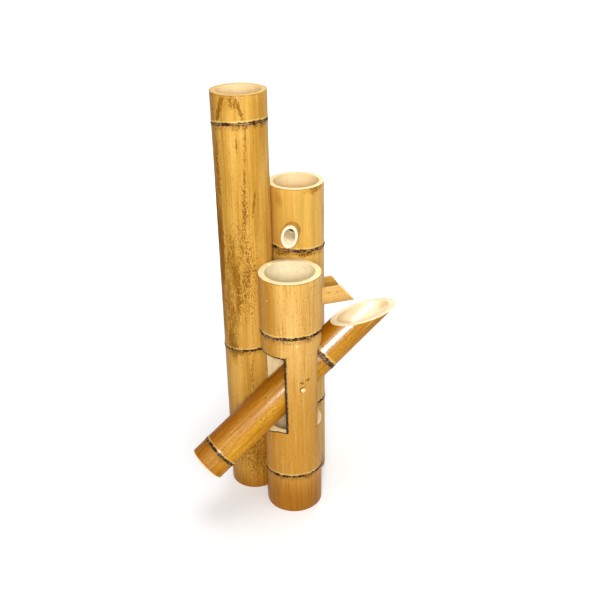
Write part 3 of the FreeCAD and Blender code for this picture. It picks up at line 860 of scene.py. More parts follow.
def tube(start, end, radius, wall, distance, cut_angle):
    """Thin bamboo tube about Z, square at its start and cut slantwise at its end."""
    bore = radius - wall
    skin = [(radius, height) for height in levels(start + ROUNDING, end, 0.004)]
    inner = [(bore, height) for height in levels(end, start + ROUNDING, 0.004)]
    foot = [(bore, start + ROUNDING), (bore + ROUNDING, start), (radius - ROUNDING, start)]
    bm = revolve([(radius - ROUNDING, start), *skin, (radius, end), *inner, *foot], SMALL_STEPS)
    for face in bm.faces:
        middle = face.calc_center_median()
        if middle.z < start + ROUNDING or middle.z > end - ON_END:
            face.material_index = 1
        elif math.hypot(middle.x, middle.y) < bore + ON_EDGE:
            face.material_index = 2
    slice_end(bm, distance, cut_angle, rounding=0.0008)
    return bm


def rod(radius, start, end):
    """Plain round cutter along Z."""
    bm = bmesh.new()
    bmesh.ops.create_cone(
        bm, cap_ends=True, segments=THIN_STEPS, radius1=radius, radius2=radius, depth=end - start
    )
    bmesh.ops.translate(bm, verts=bm.verts, vec=(0, 0, (start + end) / 2))
    return bm


def put(bm, base, turn):
    """Turn a shape and move it to its base."""
    bm.transform(Matrix.Translation(base) @ Euler(turn).to_matrix().to_4x4())
    return bm


def gather(parts):
    """One shape out of several."""
    bm = bmesh.new()
    for part in parts:
        mesh = bpy.data.meshes.new("part")
        part.to_mesh(mesh)
        part.free()
        bm.from_mesh(mesh)
        bpy.data.meshes.remove(mesh)
    return bm


def level_turn(bearing):
    """Turn that lays a shape's Z level, pointing in a direction."""
    return (0.0, math.pi / 2, bearing)


def raised(place, height):
    return Vector(place) + Vector((0.0, 0.0, height))


def bearing_between(first, second):
    line = Vector(second) - Vector(first)
    return math.atan2(line.y, line.x)


def new_object(bm, name, *materials):
    mesh = bpy.data.meshes.new(name)
    bm.to_mesh(mesh)
    bm.free()
    for material in materials:
        mesh.materials.append(material)
    made = bpy.data.objects.new(name, mesh)
    bpy.context.scene.collection.objects.link(made)
    return made


def carve(piece, solids, operation="DIFFERENCE"):
    """Cut solids out of a piece, or join them to it; each brings its own material to the new faces."""
    for solid in solids:
        modifier = piece.modifiers.new("carve", "BOOLEAN")
        modifier.operation = operation
        modifier.solver = "EXACT"
        modifier.material_mode = "TRANSFER"
        modifier.object = solid
    bpy.context.view_layer.update()
    graph = bpy.context.evaluated_depsgraph_get()
    carved = bpy.data.meshes.new_from_object(piece.evaluated_get(graph), depsgraph=graph)
    if len(carved.polygons) < len(piece.data.polygons) // 2:
        raise RuntimeError(piece.name + " was lost while it was carved")
    piece.modifiers.clear()
    used = [piece.data] + [solid.data for solid in solids]
    piece.data = carved
    for solid in solids:
        bpy.data.objects.remove(solid)
    for mesh in used:
        bpy.data.meshes.remove(mesh)
    carved.name = piece.name


def smooth(piece, sharp_angle=math.radians(42)):
    """Shade a piece smooth and keep its real edges sharp."""
    bm = bmesh.new()
    bm.from_mesh(piece.data)
    bmesh.ops.dissolve_degenerate(bm, edges=bm.edges, dist=TINY)
    for face in bm.faces:
        face.smooth = True
    for edge in bm.edges:
        edge.smooth = len(edge.link_faces) != 2 or edge.calc_face_angle(0.0) < sharp_angle
    bm.to_mesh(piece.data)
    bm.free()


def finish_piece(piece, body, node):
    """Shade a piece and let it stand for its node on its body."""
    smooth(piece)
    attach(piece, body)
    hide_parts(node)


def stand_piece(bm, axis, name, node, slot, *materials):
    """Piece of the stand out of a shape about Z, put on its axis."""
    finish_piece(new_object(put(bm, *axis), name, *materials), "stand", node)


def hole(base, bearing, radius, start, end, material):
    """Round cutter that runs level in a direction."""
    return new_object(put(rod(radius, start, end), base, level_turn(bearing)), "hole", material)


def chamber_cutter(nodes, plate, bore, axis, material):
    hollow = chamber(nodes[0] + plate / 2, nodes[1] - plate / 2, bore)
    return new_object(put(hollow, *axis), "chamber", material)


def peg_runs(sizes):
    """Start, bearing, first and last distance of each peg between two canes."""
    post = (Vector(sizes.post_place), sizes.post_bore)
    tall = (Vector(sizes.tall_place), sizes.tall_bore)
    rear = (Vector(sizes.spout_cane_place), sizes.spout_cane_bore)
    low, high = sizes.low_peg_height, sizes.high_peg_height
    runs = []
    for height, (first, first_bore), (second, second_bore) in (
        (low, post, rear), (high, post, rear), (low, post, tall), (high, post, tall), (low, tall, rear),
    ):
        end = (second - first).length - second_bore
        runs.append((raised(first, height), bearing_between(first, second), first_bore, end))
    return runs


def peg_holes(sizes, material):
    return [
        hole(base, bearing, sizes.peg_radius + sizes.fit, start - PEG_DRILL, end + PEG_DRILL, material)
        for base, bearing, start, end in peg_runs(sizes)
    ]


def rod_bearing(sizes):
    return bearing_between(sizes.tall_place, sizes.spout_cane_place)


def rod_hole(sizes, place, start, material):
    base = raised(place, sizes.rod_height)
    return hole(base, rod_bearing(sizes), sizes.rod_radius + sizes.fit, start, DRILL, material)


def riser_place(sizes):
    """Foot of the riser pipe, behind the cross rod inside the spout cane."""
    bearing = rod_bearing(sizes)
    return Vector(sizes.spout_cane_place) + Vector((-math.sin(bearing), math.cos(bearing), 0.0)) * PIPE_OFFSET


# The pieces


def chosen(context):
    """Sizes and colours that the panel's scene holds."""
    return context.scene.fountain_sizes, context.scene.fountain_colours


class UprightCane:
    """One of the three canes that stand; its rings are given by drop, further drop of the sides and lean."""

    def __init__(self, sizes, name, *rings):
        self.top, self.bore = getattr(sizes, name + "_top"), getattr(sizes, name + "_bore")
        self.plate = sizes.plate
        self.radii = [getattr(sizes, f"{name}_{end}_radius") for end in ("foot", "top")]
        self.nodes = [getattr(sizes, f"{name}_{end}_node") for end in ("lower", "upper")]
        self.base = Vector(getattr(sizes, name + "_place"))
        self.axis = (self.base, UPRIGHT)
        self.lines = []
        for node, radius, (drop, sides_drop, lean) in zip(self.nodes, self.radii, rings):
            self.lines.append((node - drop - sides_drop, (lean, -sides_drop / radius, 0.0)))

    def skin(self, name, **values):
        (lower, lower_slant), (upper, upper_slant) = self.lines
        return skin_material(
            name, self.axis, top=self.top, lower_ring=lower, lower_slant=lower_slant, upper_ring=upper,
            upper_slant=upper_slant, **values,
        )

    def piece(self, name, seed, amount, *materials):
        """The cane before it is carved; seed and amount say how it is weathered."""
        bm = make_blank(0.0, self.top, *self.radii, self.bore, self.nodes, self.plate)
        weather(bm, seed, amount)
        for node, line in zip(self.nodes, self.lines):
            slant_ring(bm, node, line)
        return new_object(put(bm, *self.axis), name, *materials)

    def chamber(self, material):
        return chamber_cutter(self.nodes, self.plate, self.bore, self.axis, material)


class FOUNTAIN_OT_tall_cane(bpy.types.Operator):
    """Make the tall stained cane."""

    bl_idname = "fountain.tall_cane"
    bl_label = "Tall Cane"

    def execute(self, context):
        sizes, colours = chosen(context)
        cane = UprightCane(sizes, "tall", (0.001, 0.0028, 0.055), (0.001, 0.0040, 0.045))
        # side sets painted shade on the cane's left.
        skin = cane.skin(
            "tall_cane_skin", seed=1.3, skin=colours.tall_skin, shade=colours.tall_shade, patches=0.7,
            streaks=0.6, speckles=0.9, lower_width=0.0044, upper_width=0.0050, foot_height=0.06, gloss=0.42,
            side=(-27.0, 2.0, 0.0), zones=TALL_CANE_STAINS,
        )
        # Painted light below the lower node, in the spout cane's paler skin colour.
        paint_marks(skin, cane.axis, TALL_CANE_PAINTED_LIGHT, colours.spout_cane_skin)
        worn_radius = sizes.tall_top_radius - 0.0018
        cut = cut_material(
            "tall_cane_cut", cane.axis, cane.bore, worn_radius, colours.old_cut, colours.tall_shade
        )
        inside = inside_material("tall_cane_inside", cane.axis, 3.0, colours.old_inside)
        piece = cane.piece("tall_cane_bamboo", 11.0, 0.0002, skin, cut, inside)
        carve(piece, [cane.chamber(inside), rod_hole(sizes, cane.base, 0.0, cut), *peg_holes(sizes, cut)])
        finish_piece(piece, "stand", "tall_cane")
        return {"FINISHED"}


class FOUNTAIN_OT_spout_cane(bpy.types.Operator):
    """Make the pale cane that carries the pour spout."""

    bl_idname = "fountain.spout_cane"
    bl_label = "Spout Cane"

    def execute(self, context):
        sizes, colours = chosen(context)
        cane = UprightCane(sizes, "spout_cane", (0.0, 0.002, 0.01), (0.0024, 0.001, -0.055))
        # side sets painted shade on the cane's left.
        skin = cane.skin(
            "spout_cane_skin", seed=7.9, skin=colours.spout_cane_skin, shade=colours.spout_cane_shade,
            patches=0.7, streaks=0.5, speckles=0.6, lower_width=0.0050, upper_width=0.0054, foot_height=0.05,
            fall=0.6, gloss=0.36, side=(-15.0, -4.0, 0.0), zones=SPOUT_CANE_STAINS, coat=0.2,
        )
        paint_marks(skin, cane.axis, SPOUT_CANE_WARM_MARKS, colours.foot)
        cut = cut_material("spout_cane_cut", cane.axis, cane.bore, sizes.spout_cane_top_radius, colours.cut)
        inside = inside_material("spout_cane_inside", cane.axis, 5.0, colours.old_inside)
        piece = cane.piece("spout_cane_bamboo", 23.0, 0.0002, skin, cut, inside)
        pour_base, riser = raised(cane.base, sizes.pour_height), riser_place(sizes)
        holes = [hole(pour_base, sizes.pour_bearing, sizes.pour_radius + sizes.fit, 0.0, DRILL, cut)]
        holes.append(rod_hole(sizes, cane.base, -DRILL, cut))
        for node, radius in zip(cane.nodes, (PIPE_RADIUS, GROMMET_NECK)):
            drill = rod(radius + sizes.fit, node - PLATE_DRILL, node + PLATE_DRILL)
            holes.append(new_object(put(drill, riser, UPRIGHT), "riser_hole", cut))
        carve(piece, [cane.chamber(inside), *holes, *hose_notch(sizes, riser, cut), *peg_holes(sizes, cut)])
        finish_piece(piece, "stand", "spout_cane")
        return {"FINISHED"}


def hose_notch(sizes, riser, material):
    """Cutters for the arch that lets the hose tail out at the back of the spout cane's foot."""
    radius, height, below = sizes.notch_radius, sizes.hose_height, 0.001
    legs = bmesh.new()
    bmesh.ops.create_cube(legs, size=1.0)
    bmesh.ops.scale(legs, verts=legs.verts, vec=(2 * radius, DRILL, height + below))
    bmesh.ops.translate(legs, verts=legs.verts, vec=(riser.x, riser.y + DRILL / 2, (height - below) / 2))
    arch = hole(raised(riser, height), math.pi / 2, radius, 0.0, DRILL, material)
    return [new_object(legs, "hose_notch", material), arch]


class FOUNTAIN_OT_rocker_post(bpy.types.Operator):
    """Make the slotted front post."""

    bl_idname = "fountain.rocker_post"
    bl_label = "Rocker Post"

    def execute(self, context):
        sizes, colours = chosen(context)
        cane = UprightCane(sizes, "post", (-0.0005, 0.0037, 0.01), (0.001, 0.0045, 0.014))
        # side sets painted shade on the post's left.
        skin = cane.skin(
            "post_skin", seed=15.2, skin=colours.post_skin, shade=colours.post_shade, patches=0.6,
            streaks=0.62, speckles=0.95, lower_width=0.0048, upper_width=0.0052, foot_height=0.080,
            fall_height=0.42, fall=0.85, gloss=0.38, side=(-29.0, -3.0, 0.0), coat=0.2,
        )
        paint_marks(skin, cane.axis, POST_PALE_MARKS, colours.cut)
        # Specks and a line in the stain colour, with painted shadow round the pin's hole.
        paint_marks(skin, cane.axis, POST_SPECKS_AND_PIN_SHADOW, colours.stain)
        edge = use(
            "Slot Edge", object_place(skin), yaw=sizes.rocker_yaw, slope=math.tan(sizes.rocker_tilt),
            half_width=sizes.slot_half_width, head=sizes.slot_head, sill=sizes.slot_sill,
            high_line=sizes.slot_high_line, low_line=sizes.slot_low_line,
        )
        # The slot's edge line, in the ring colour, is partly a dirty edge and partly painted shade.
        overlay(skin, edge["Mask"], colours.ring)
        cut = cut_material("post_cut", cane.axis, cane.bore, sizes.post_top_radius, colours.cut)
        inside = inside_material("post_inside", cane.axis, 8.0, colours.inside, 0.5)
        old = inside_material("post_chamber", cane.axis, 9.0, colours.old_inside, 0.8)
        piece = cane.piece("rocker_post_bamboo", 31.0, 0.00015, skin, cut, inside)
        pin_bearing, feed_base = sizes.rocker_yaw + math.pi / 2, raised(cane.base, sizes.feed_height)
        carve(piece, [
            cane.chamber(old), slot_cutter(sizes, cut), rim_chip(sizes, cut),
            hole(PIVOT, pin_bearing, sizes.pin_radius + sizes.fit, -POST_DRILL, POST_DRILL, cut),
            hole(feed_base, sizes.feed_bearing, sizes.feed_radius + sizes.fit, 0.0, POST_DRILL, cut),
            *peg_holes(sizes, cut),
        ])
        finish_piece(piece, "stand", "rocker_post")
        return {"FINISHED"}


def slot_cutter(sizes, material):
    """Block with rounded upper corners that cuts the rocker's slot through the post."""
    slope, reach = math.tan(sizes.rocker_tilt), SLOT_REACH
    sill, head, half_width = sizes.slot_sill, sizes.slot_head, sizes.slot_half_width
    low_line, high_line = sizes.slot_low_line, sizes.slot_high_line
    off_middle, bend = 0.01, math.radians(60)
    corners = [
        (-reach, low_line - reach * slope), ((sill - low_line) / slope, sill), (reach, sill),
        (reach, high_line + reach * slope), ((head - high_line) / slope, head), (-reach, head),
    ]
    bm = bmesh.new()
    face = bm.faces.new([bm.verts.new((x, -half_width, z)) for x, z in corners])
    grown = bmesh.ops.extrude_face_region(bm, geom=[face])["geom"]
    moved = [part for part in grown if isinstance(part, bmesh.types.BMVert)]
    bmesh.ops.translate(bm, verts=moved, vec=(0, 2 * half_width, 0))
    bmesh.ops.recalc_face_normals(bm, faces=bm.faces)
    rounded = []
    for edge in bm.edges:
        first, second = (vert.co for vert in edge.verts)
        level = abs(first.y - second.y) < TINY and min(first.z, second.z) > head - ON_EDGE
        if level and abs(first.x) + abs(second.x) > off_middle and edge.calc_face_angle(0.0) > bend:
            rounded.append(edge)
    bmesh.ops.bevel(
        bm, geom=rounded, offset=sizes.slot_rounding, segments=4, affect="EDGES", profile=0.5, material=-1
    )
    return new_object(put(bm, ORIGIN, (0, 0, sizes.rocker_yaw)), "slot_cutter", material)


def rim_chip(sizes, material):
    """Small rough cutter for the chip at the back left of the post's rim."""
    size, bearing, roughness, grain = 0.004, math.radians(143), 0.35, 420.0
    outward, upward, flatten = 0.002, 0.0006, (1.0, 1.5, 0.55)
    bm = bmesh.new()
    bmesh.ops.create_icosphere(bm, subdivisions=3, radius=size)
    for vert in bm.verts:
        vert.co *= 1.0 + roughness * noise.noise(vert.co * grain)
    bmesh.ops.scale(bm, verts=bm.verts, vec=flatten)
    way = Vector((math.cos(bearing), math.sin(bearing), 0.0))
    put(bm, raised(way * (sizes.post_bore + outward), sizes.post_top + upward), (0.0, 0.0, bearing))
    return new_object(bm, "rim_chip", material)


class FOUNTAIN_OT_rocker_tube(bpy.types.Operator):
    """Make the tilting tube with its slanted mouth."""

    bl_idname = "fountain.rocker_tube"
    bl_label = "Rocker Tube"

    def execute(self, context):
        sizes, colours = chosen(context)
        turn = (0.0, math.pi / 2 - sizes.rocker_tilt, sizes.rocker_yaw)
        axis = (PIVOT + Euler(turn).to_matrix() @ Vector((sizes.rocker_drop, 0.0, 0.0)), turn)
        low, nodes = -sizes.rocker_tail, [-sizes.rocker_tail_node, sizes.rocker_water_node]
        tail_radius, mouth_radius = sizes.rocker_tail_radius, sizes.rocker_mouth_radius
        # side sets painted shade along the rocker's upper side.
        skin = skin_material(
            "rocker_skin", axis, seed=22.7, skin=colours.rocker_skin, shade=colours.rocker_shade, patches=0.6,
            streaks=0.65, speckles=1.3, lower_ring=nodes[0], upper_ring=nodes[1], lower_width=0.0048,
            upper_width=0.0080, foot_height=-0.155, top=1.0, gloss=0.36, side=(-36.0, 10.0, 0.0), coat=1.0,
            bump=0.15,
        )
        self.polish(skin, cane_place(skin, axis), mouth_radius)
        height = part_of(cane_place(skin, axis), "Z")
        overlay(skin, ease(height, low + TAIL_ROUNDING, low + TAIL_WORN, 0.9, 0.0), colours.cut)
        cut = cut_material("rocker_cut", axis, sizes.rocker_bore, mouth_radius + 0.004, colours.fresh_cut)
        inside = inside_material("rocker_inside", axis, 12.0, colours.fresh_inside, 0.1, 1.0)
        # Painted shade inside the mouth near its tip, in the fibre colour.
        paint_marks(inside, axis, ROCKER_INSIDE_PAINTED_SHADE, colours.fibre)
        rate = (mouth_radius - tail_radius) / (sizes.rocker_tail + sizes.rocker_mouth)
        end_radius = tail_radius + rate * (ROCKER_BLANK - low)
        bm = make_blank(
            low, ROCKER_BLANK, tail_radius, end_radius, sizes.rocker_bore, nodes, sizes.plate, TAIL_ROUNDING
        )
        slice_end(bm, sizes.rocker_mouth, sizes.rocker_mouth_angle, sizes.rocker_mouth_roll)
        piece = new_object(put(bm, *axis), "rocker_tube_bamboo", skin, cut, inside)
        pin_bearing = sizes.rocker_yaw + math.pi / 2
        carve(piece, [
            chamber_cutter(nodes, sizes.plate, sizes.rocker_bore, axis, inside),
            hole(PIVOT, pin_bearing, sizes.pin_radius + PIN_PLAY, -DRILL, DRILL, cut),
        ])
        finish_piece(piece, "rocker", "rocker_tube")
        return {"FINISHED"}

    def polish(self, skin, place, radius):
        """Clear varnish along the side of the mouth's end that faces the front."""
        sockets = skin.node_tree.nodes["Principled BSDF"].inputs
        sockets["Coat IOR"].default_value = 2.3
        sockets["Coat Roughness"].default_value = 0.22
        toward = [part / radius for part in POLISHED_SIDE]
        facing = ease(dot(place, (*toward, 0.0)), 0.925, 0.985, 0.06, 1.0)
        coat = sockets["Coat Weight"]
        below = Wire(place.tree, coat.links[0].from_socket)
        fill(coat, below * facing * ease(part_of(place, "Z"), 0.02, 0.06, 0.25, 1.0))


class FOUNTAIN_OT_spouts(bpy.types.Operator):
    """Make the pour spout and the feed spout."""

    bl_idname = "fountain.spouts"
    bl_label = "Spouts"

    def execute(self, context):
        sizes, colours = chosen(context)
        pour_base = raised(sizes.spout_cane_place, sizes.pour_height)
        make_small_tube(
            "pour_spout", pour_base, sizes.pour_bearing, sizes.pour_radius, sizes.spout_wall,
            sizes.spout_cane_bore - SPOUT_INSET, POUR_CUT, colours.pour_skin, colours.pour_cut,
        )
        feed_base = raised(sizes.post_place, sizes.feed_height)
        make_small_tube(
            "feed_spout", feed_base, sizes.feed_bearing, sizes.feed_radius, sizes.spout_wall,
            sizes.post_bore - SPOUT_INSET, FEED_CUT, colours.feed_skin, colours.cut, FEED_SPOUT_MARKS,
        )
        return {"FINISHED"}


class FOUNTAIN_OT_cross_rod(bpy.types.Operator):
    """Make the rod through both rear canes."""

    bl_idname = "fountain.cross_rod"
    bl_label = "Cross Rod"

    def execute(self, context):
        sizes, colours = chosen(context)
        span = (Vector(sizes.spout_cane_place) - Vector(sizes.tall_place)).length
        base = raised(sizes.spout_cane_place, sizes.rod_height)
        make_small_tube(
            "cross_rod", base, rod_bearing(sizes), sizes.rod_radius, sizes.rod_wall,
            sizes.tall_bore - ROD_INSET - span, ROD_CUT, colours.rod_skin, colours.cut,
        )
        return {"FINISHED"}


def make_small_tube(name, base, bearing, radius, wall, start, slanted_cut, tint, cut_tint, marks=()):
    """Thin bamboo tube that lies level and ends in a slanted cut."""
    colours = bpy.context.scene.fountain_colours
    axis = (base, level_turn(bearing))
    distance, cut_angle = slanted_cut[0], math.radians(slanted_cut[1])
    skin = skin_material(
        name + "_skin", axis, seed=distance * 90.0, skin=tint, shade=colours.post_shade, patches=0.3,
        streaks=0.4, speckles=0.6, lower_ring=-1.0, upper_ring=-2.0, foot_height=-1.0, top=1.0, gloss=0.45,
    )
    cut = cut_material(name + "_cut", axis, radius - wall, radius, cut_tint)
    inside = inside_material(name + "_inside", axis, 4.0, colours.small_inside)
    beyond = dot(cane_place(skin, axis), (-math.cos(cut_angle), 0.0, math.sin(cut_angle)))
    limit = distance * math.sin(cut_angle)
    overlay(skin, ease(beyond, limit - LIP_START, limit - LIP_FULL, 0.0, 0.8), cut_tint)
    if marks:
        paint_marks(skin, axis, marks, colours.stain)
    end = distance + radius / math.tan(cut_angle) + TUBE_SPARE
    bm = tube(start, end, radius, wall, distance, cut_angle)
    stand_piece(bm, axis, name + "_bamboo", name, "bamboo_small", skin, cut, inside)


class FOUNTAIN_OT_pivot(bpy.types.Operator):
    """Make the pivot pin and its two spacers."""

    bl_idname = "fountain.pivot"
    bl_label = "Pivot Pin and Spacers"

    def execute(self, context):
        sizes, colours = chosen(context)
        wood = plain_material("peg_wood", colours.wood, 0.55, 700.0, contrast=0.12)
        axis = (PIVOT, level_turn(sizes.rocker_yaw + math.pi / 2))
        stand_piece(self.pin(sizes.pin_radius), axis, "pivot_pin_wood", "pivot_pin", "peg_wood", wood)
        near, far = ROCKER_SIDE + SIDE_PLAY, sizes.slot_half_width - SIDE_PLAY
        rings = [self.spacer(sizes.pin_radius, low, high) for low, high in ((-far, -near), (near, far))]
        stand_piece(gather(rings), axis, "pivot_spacers_wood", "pivot_spacers", "peg_wood", wood)
        return {"FINISHED"}

    def pin(self, radius):
        """Rod with rounded ends."""
        straight = 0.0012
        end = [(0.0, 0.0), (radius * 0.6, 0.0001), (radius - 0.0005, 0.0003), (radius - 0.0001, 0.0007)]
        low = [(across, inset - PIN_HALF) for across, inset in end]
        high = [(across, PIN_HALF - inset) for across, inset in reversed(end)]
        side = [(radius, height) for height in levels(straight - PIN_HALF, PIN_HALF - straight, 0.012)]
        return revolve(low + side + [(radius, PIN_HALF - straight)] + high, THIN_STEPS)

    def spacer(self, pin_radius, low, high):
        bore, outer, edge = pin_radius + PIN_PLAY, pin_radius + 0.003, 0.0005
        return revolve([
            (bore + edge, low), (outer - edge, low), (outer, low + edge), (outer + 0.0001, (low + high) / 2),
            (outer, high - edge), (outer - edge, high), (bore + edge, high), (bore, high - edge),
            (bore, low + edge), (bore + edge, low),
        ], THIN_STEPS)


class FOUNTAIN_OT_pegs(bpy.types.Operator):
    """Make the five fluted pegs that join the canes."""

    bl_idname = "fountain.pegs"
    bl_label = "Joining Pegs"

    def execute(self, context):
        sizes, _ = chosen(context)
        pegs = [
            put(self.peg(sizes.peg_radius, start + PEG_INSET, end - PEG_INSET), base, level_turn(bearing))
            for base, bearing, start, end in peg_runs(sizes)
        ]
        wood = bpy.data.materials["peg_wood"]
        stand_piece(gather(pegs), (ORIGIN, UPRIGHT), "joining_pegs_wood", "joining_pegs", "peg_wood", wood)
        return {"FINISHED"}

    def peg(self, radius, start, end):
        """Chamfered peg with twelve shallow flutes."""
        outline = [(0.0, start), (radius - 0.0007, start), (radius, start + 0.001)]
        outline += [(radius, end - 0.001), (radius - 0.0007, end), (0.0, end)]
        bm = revolve(outline, THIN_STEPS)
        for vert in bm.verts:
            step = round(math.atan2(vert.co.y, vert.co.x) / math.tau * THIN_STEPS)
            if step % 4 == 0 and start + 0.0005 < vert.co.z < end - 0.0005:
                vert.co.x *= 0.95
                vert.co.y *= 0.95
        return bm


class FOUNTAIN_OT_water_pipe(bpy.types.Operator):
    """Make the riser pipe, its grommet and the hose elbow inside the spout cane."""

    bl_idname = "fountain.water_pipe"
    bl_label = "Water Pipe"

    def execute(self, context):
        sizes, colours = chosen(context)
        plastic = plain_material("pipe_plastic", colours.pipe, 0.45, 300.0)
        rubber = plain_material("grommet_rubber", colours.rubber, 0.75, 900.0)
        brass = plain_material("elbow_brass", colours.brass, 0.34, 120.0, 0.12, 0.05, metallic=1.0)
        riser = riser_place(sizes)
        axis = (riser, UPRIGHT)
        stand_piece(self.pipe(sizes), axis, "riser_pipe_tube", "riser_pipe", "pipe_plastic", plastic)
        stand_piece(
            self.grommet(sizes), axis, "riser_grommet_rubber", "riser_grommet", "grommet_rubber", rubber
        )
        elbow = new_object(put(self.elbow_body(sizes), *axis), "hose_elbow_brass", brass)
        tail_axis = (raised(riser, sizes.hose_height), level_turn(math.pi / 2))
        tail = new_object(put(self.hose_tail(HOSE_TAIL_END - riser.y), *tail_axis), "hose_tail", brass)
        carve(elbow, [tail], "UNION")
        finish_piece(elbow, "stand", "hose_elbow")
        return {"FINISHED"}

    def pipe(self, sizes):
        low, high = PIPE_FOOT, sizes.pour_height - PIPE_DROP
        radius, bore, edge = PIPE_RADIUS, PIPE_BORE, 0.0006
        side = [(radius, height) for height in levels(low + 0.01, high - edge, 0.02)]
        rim = [(radius, high - edge), (radius - edge, high), (bore + edge, high), (bore, high - edge)]
        return revolve([(bore, low), (radius, low), *side, *rim, (bore, low)], THIN_STEPS)

    def grommet(self, sizes):
        """Ring with a groove for the node plate that it sits in."""
        bore, neck, lip, edge, chamfer = PIPE_RADIUS + sizes.fit, GROMMET_NECK, 0.013, 0.0007, 0.0003
        node, half, thickness = sizes.spout_cane_upper_node, sizes.plate / 2, 0.002
        low, high = node - half, node + half
        foot, top = low - thickness, high + thickness
        return revolve([
            (bore, foot), (lip - edge, foot), (lip, foot + edge), (lip, low - chamfer), (lip - chamfer, low),
            (neck, low), (neck, high), (lip - chamfer, high), (lip, high + chamfer), (lip, top - edge),
            (lip - edge, top), (bore + edge, top), (bore, top - edge), (bore, foot),
        ], THIN_STEPS)

    def elbow_body(self, sizes):
        """Upright socket for the pipe, with a groove round its upper end."""
        low, high, radius, edge, groove = 0.007, 0.0385, 0.0105, 0.0006, 0.0004
        socket, floor = PIPE_RADIUS + sizes.fit, PIPE_FOOT - 0.001
        return revolve([
            (0.0, low), (radius - edge, low), (radius, low + edge), (radius, high - 0.006),
            (radius - groove, high - 0.0055), (radius - groove, high - 0.0045), (radius, high - 0.004),
            (radius, high - edge), (radius - edge, high), (socket + edge, high), (socket, high - edge),
            (socket, PIPE_FOOT), (PIPE_BORE, PIPE_FOOT), (PIPE_BORE, floor), (0.0, floor),
        ], SMALL_STEPS)

    def hose_tail(self, end):
        """Tail for the hose with a collar and four barbs."""
        radius, neck, bore, collar, start = 0.0065, 0.0057, 0.0045, 0.0085, end - 0.026
        outline = [(0.0, 0.0), (radius, 0.0), (radius, start + 0.0003), (collar - 0.0004, start + 0.0004)]
        outline += [(collar, start + 0.0009), (collar, start + 0.0029), (collar - 0.0004, start + 0.0034)]
        outline.append((0.0062, start + 0.0036))
        for barb in range(4):
            foot = start + 0.0052 + barb * 0.005
            outline += [(neck, foot), (radius, foot + 0.0006), (radius - 0.0001, foot + 0.0012)]
            outline.append((neck, foot + 0.0047))
        outline += [(0.0055, end - 0.0005), (0.0051, end), (bore, end), (bore, 0.002), (0.0, 0.002)]
        return revolve(outline, SMALL_STEPS)


def seen(tree):
    """1 where the camera, a reflection or a view through glass meets the surface, else 0."""
    path = tree.nodes.new("ShaderNodeLightPath").outputs
    return most(*(Wire(tree, path[f"Is {ray} Ray"]) for ray in ("Camera", "Glossy", "Transmission")))


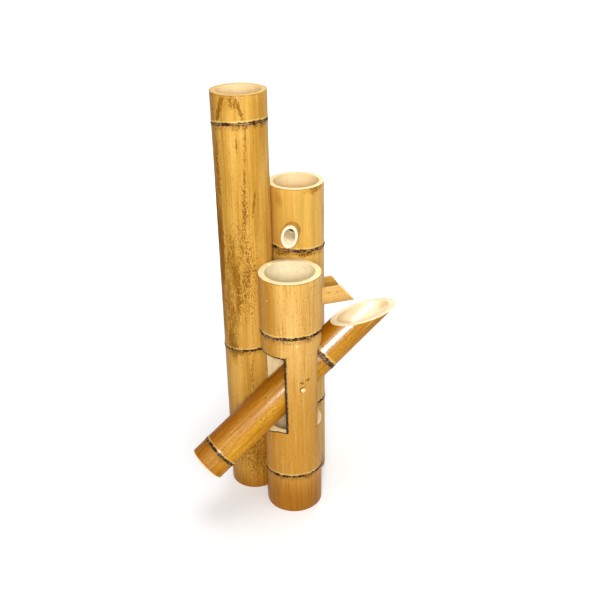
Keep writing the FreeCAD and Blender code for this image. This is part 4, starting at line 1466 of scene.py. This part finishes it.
class FOUNTAIN_OT_stage(bpy.types.Operator):
    """Make the floor, the lamps, the surrounding light and the camera."""

    bl_idname = "fountain.stage"
    bl_label = "Stage"

    def execute(self, context):
        scene, settings = context.scene, context.scene.fountain_stage
        bm = bmesh.new()
        bmesh.ops.create_grid(bm, x_segments=4, y_segments=4, size=9.0)
        floor = new_object(bm, "floor", self.floor_material(scene.fountain_colours.floor))
        for name, (place, target, size) in LAMPS.items():
            self.add_lamp(name + "_lamp", place, target, size, getattr(settings, name + "_power"))
        self.make_world(scene, settings.sky)
        self.add_camera(scene, settings)
        scene.view_settings.view_transform = "Standard"
        return {"FINISHED"}

    def floor_material(self, tint):
        """Plain pale floor that fades to white away from the object and keeps its shadow."""
        material, principled = new_material("floor", Roughness=0.85, Specular_IOR_Level=0.2)
        tree, place = material.node_tree, object_place(material)
        darker = [part * 0.99 for part in tint]
        fill(principled.inputs["Base Color"], mix(grain_noise(place, 1.0, 9.0), darker, tint))
        glow = ease(length_of(place), 0.20, 1.6, 0.22, 0.85)
        light = add(tree, "ShaderNodeEmission", {"Color": (1.0, 1.0, 1.0), "Strength": seen(tree) * glow})
        both = add(tree, "ShaderNodeAddShader", {0: Wire(tree, principled.outputs[0]), 1: light})
        fill(tree.nodes["Material Output"].inputs["Surface"], both)
        return material

    def add_lamp(self, name, place, target, size, power):
        lamp = bpy.data.lights.new(name, "AREA")
        lamp.shape = "DISK"
        lamp.size = size
        lamp.energy = power
        made = bpy.data.objects.new(name, lamp)
        aim = (Vector(target) - Vector(place)).to_track_quat("-Z", "Y").to_matrix().to_4x4()
        made.matrix_world = Matrix.Translation(place) @ aim
        bpy.context.scene.collection.objects.link(made)

    def make_world(self, scene, strength):
        """Even light all round that shows white to the camera."""
        world = bpy.data.worlds.new("studio")
        world.use_nodes = True
        scene.world = world
        shade = world.node_tree.nodes["Background"]
        shade.inputs["Color"].default_value = (1.0, 1.0, 1.0, 1.0)
        inputs = {"Value": seen(world.node_tree), "To Min": strength, "To Max": 1.0}
        fill(shade.inputs["Strength"], add(world.node_tree, "ShaderNodeMapRange", inputs, "Result"))

    def add_camera(self, scene, settings):
        lens = bpy.data.cameras.new("camera")
        lens.sensor_width = 36.0
        lens.sensor_fit = "HORIZONTAL"
        lens.lens = settings.lens
        made = bpy.data.objects.new("camera", lens)
        pitch = Matrix.Rotation(math.pi / 2 - settings.camera_pitch, 4, "X")
        roll = Matrix.Rotation(settings.camera_roll, 4, "Z")
        made.matrix_world = Matrix.Translation(settings.camera_place) @ pitch @ roll
        scene.collection.objects.link(made)
        scene.camera = made


class FOUNTAIN_PT_panel(bpy.types.Panel):
    """Buttons for the fountain's pieces and its stage."""

    bl_idname = "FOUNTAIN_PT_panel"
    bl_label = "Bamboo Fountain"
    bl_space_type = "VIEW_3D"
    bl_region_type = "UI"
    bl_category = "Fountain"

    def draw(self, context):
        column = self.layout.column(align=True)
        for operator in OPERATORS:
            column.operator(operator.bl_idname)


OPERATORS = (
    FOUNTAIN_OT_stage, FOUNTAIN_OT_tall_cane, FOUNTAIN_OT_spout_cane, FOUNTAIN_OT_rocker_post,
    FOUNTAIN_OT_rocker_tube, FOUNTAIN_OT_spouts, FOUNTAIN_OT_cross_rod, FOUNTAIN_OT_pivot, FOUNTAIN_OT_pegs,
    FOUNTAIN_OT_water_pipe,
)
SETTINGS = {
    "fountain_sizes": FountainSizes, "fountain_colours": FountainColours, "fountain_stage": FountainStage,
}
CLASSES = (*SETTINGS.values(), *OPERATORS, FOUNTAIN_PT_panel)


def register():
    for item in CLASSES:
        bpy.utils.register_class(item)
    for name, kind in SETTINGS.items():
        setattr(bpy.types.Scene, name, PointerProperty(type=kind))


def unregister():
    for name in SETTINGS:
        delattr(bpy.types.Scene, name)
    for item in reversed(CLASSES):
        bpy.utils.unregister_class(item)


def main():
    """Make every piece and the stage."""
    register()
    for operator in OPERATORS:
        group_name, name = operator.bl_idname.split(".")
        getattr(getattr(bpy.ops, group_name), name)()


if __name__ == "__main__":
    main()
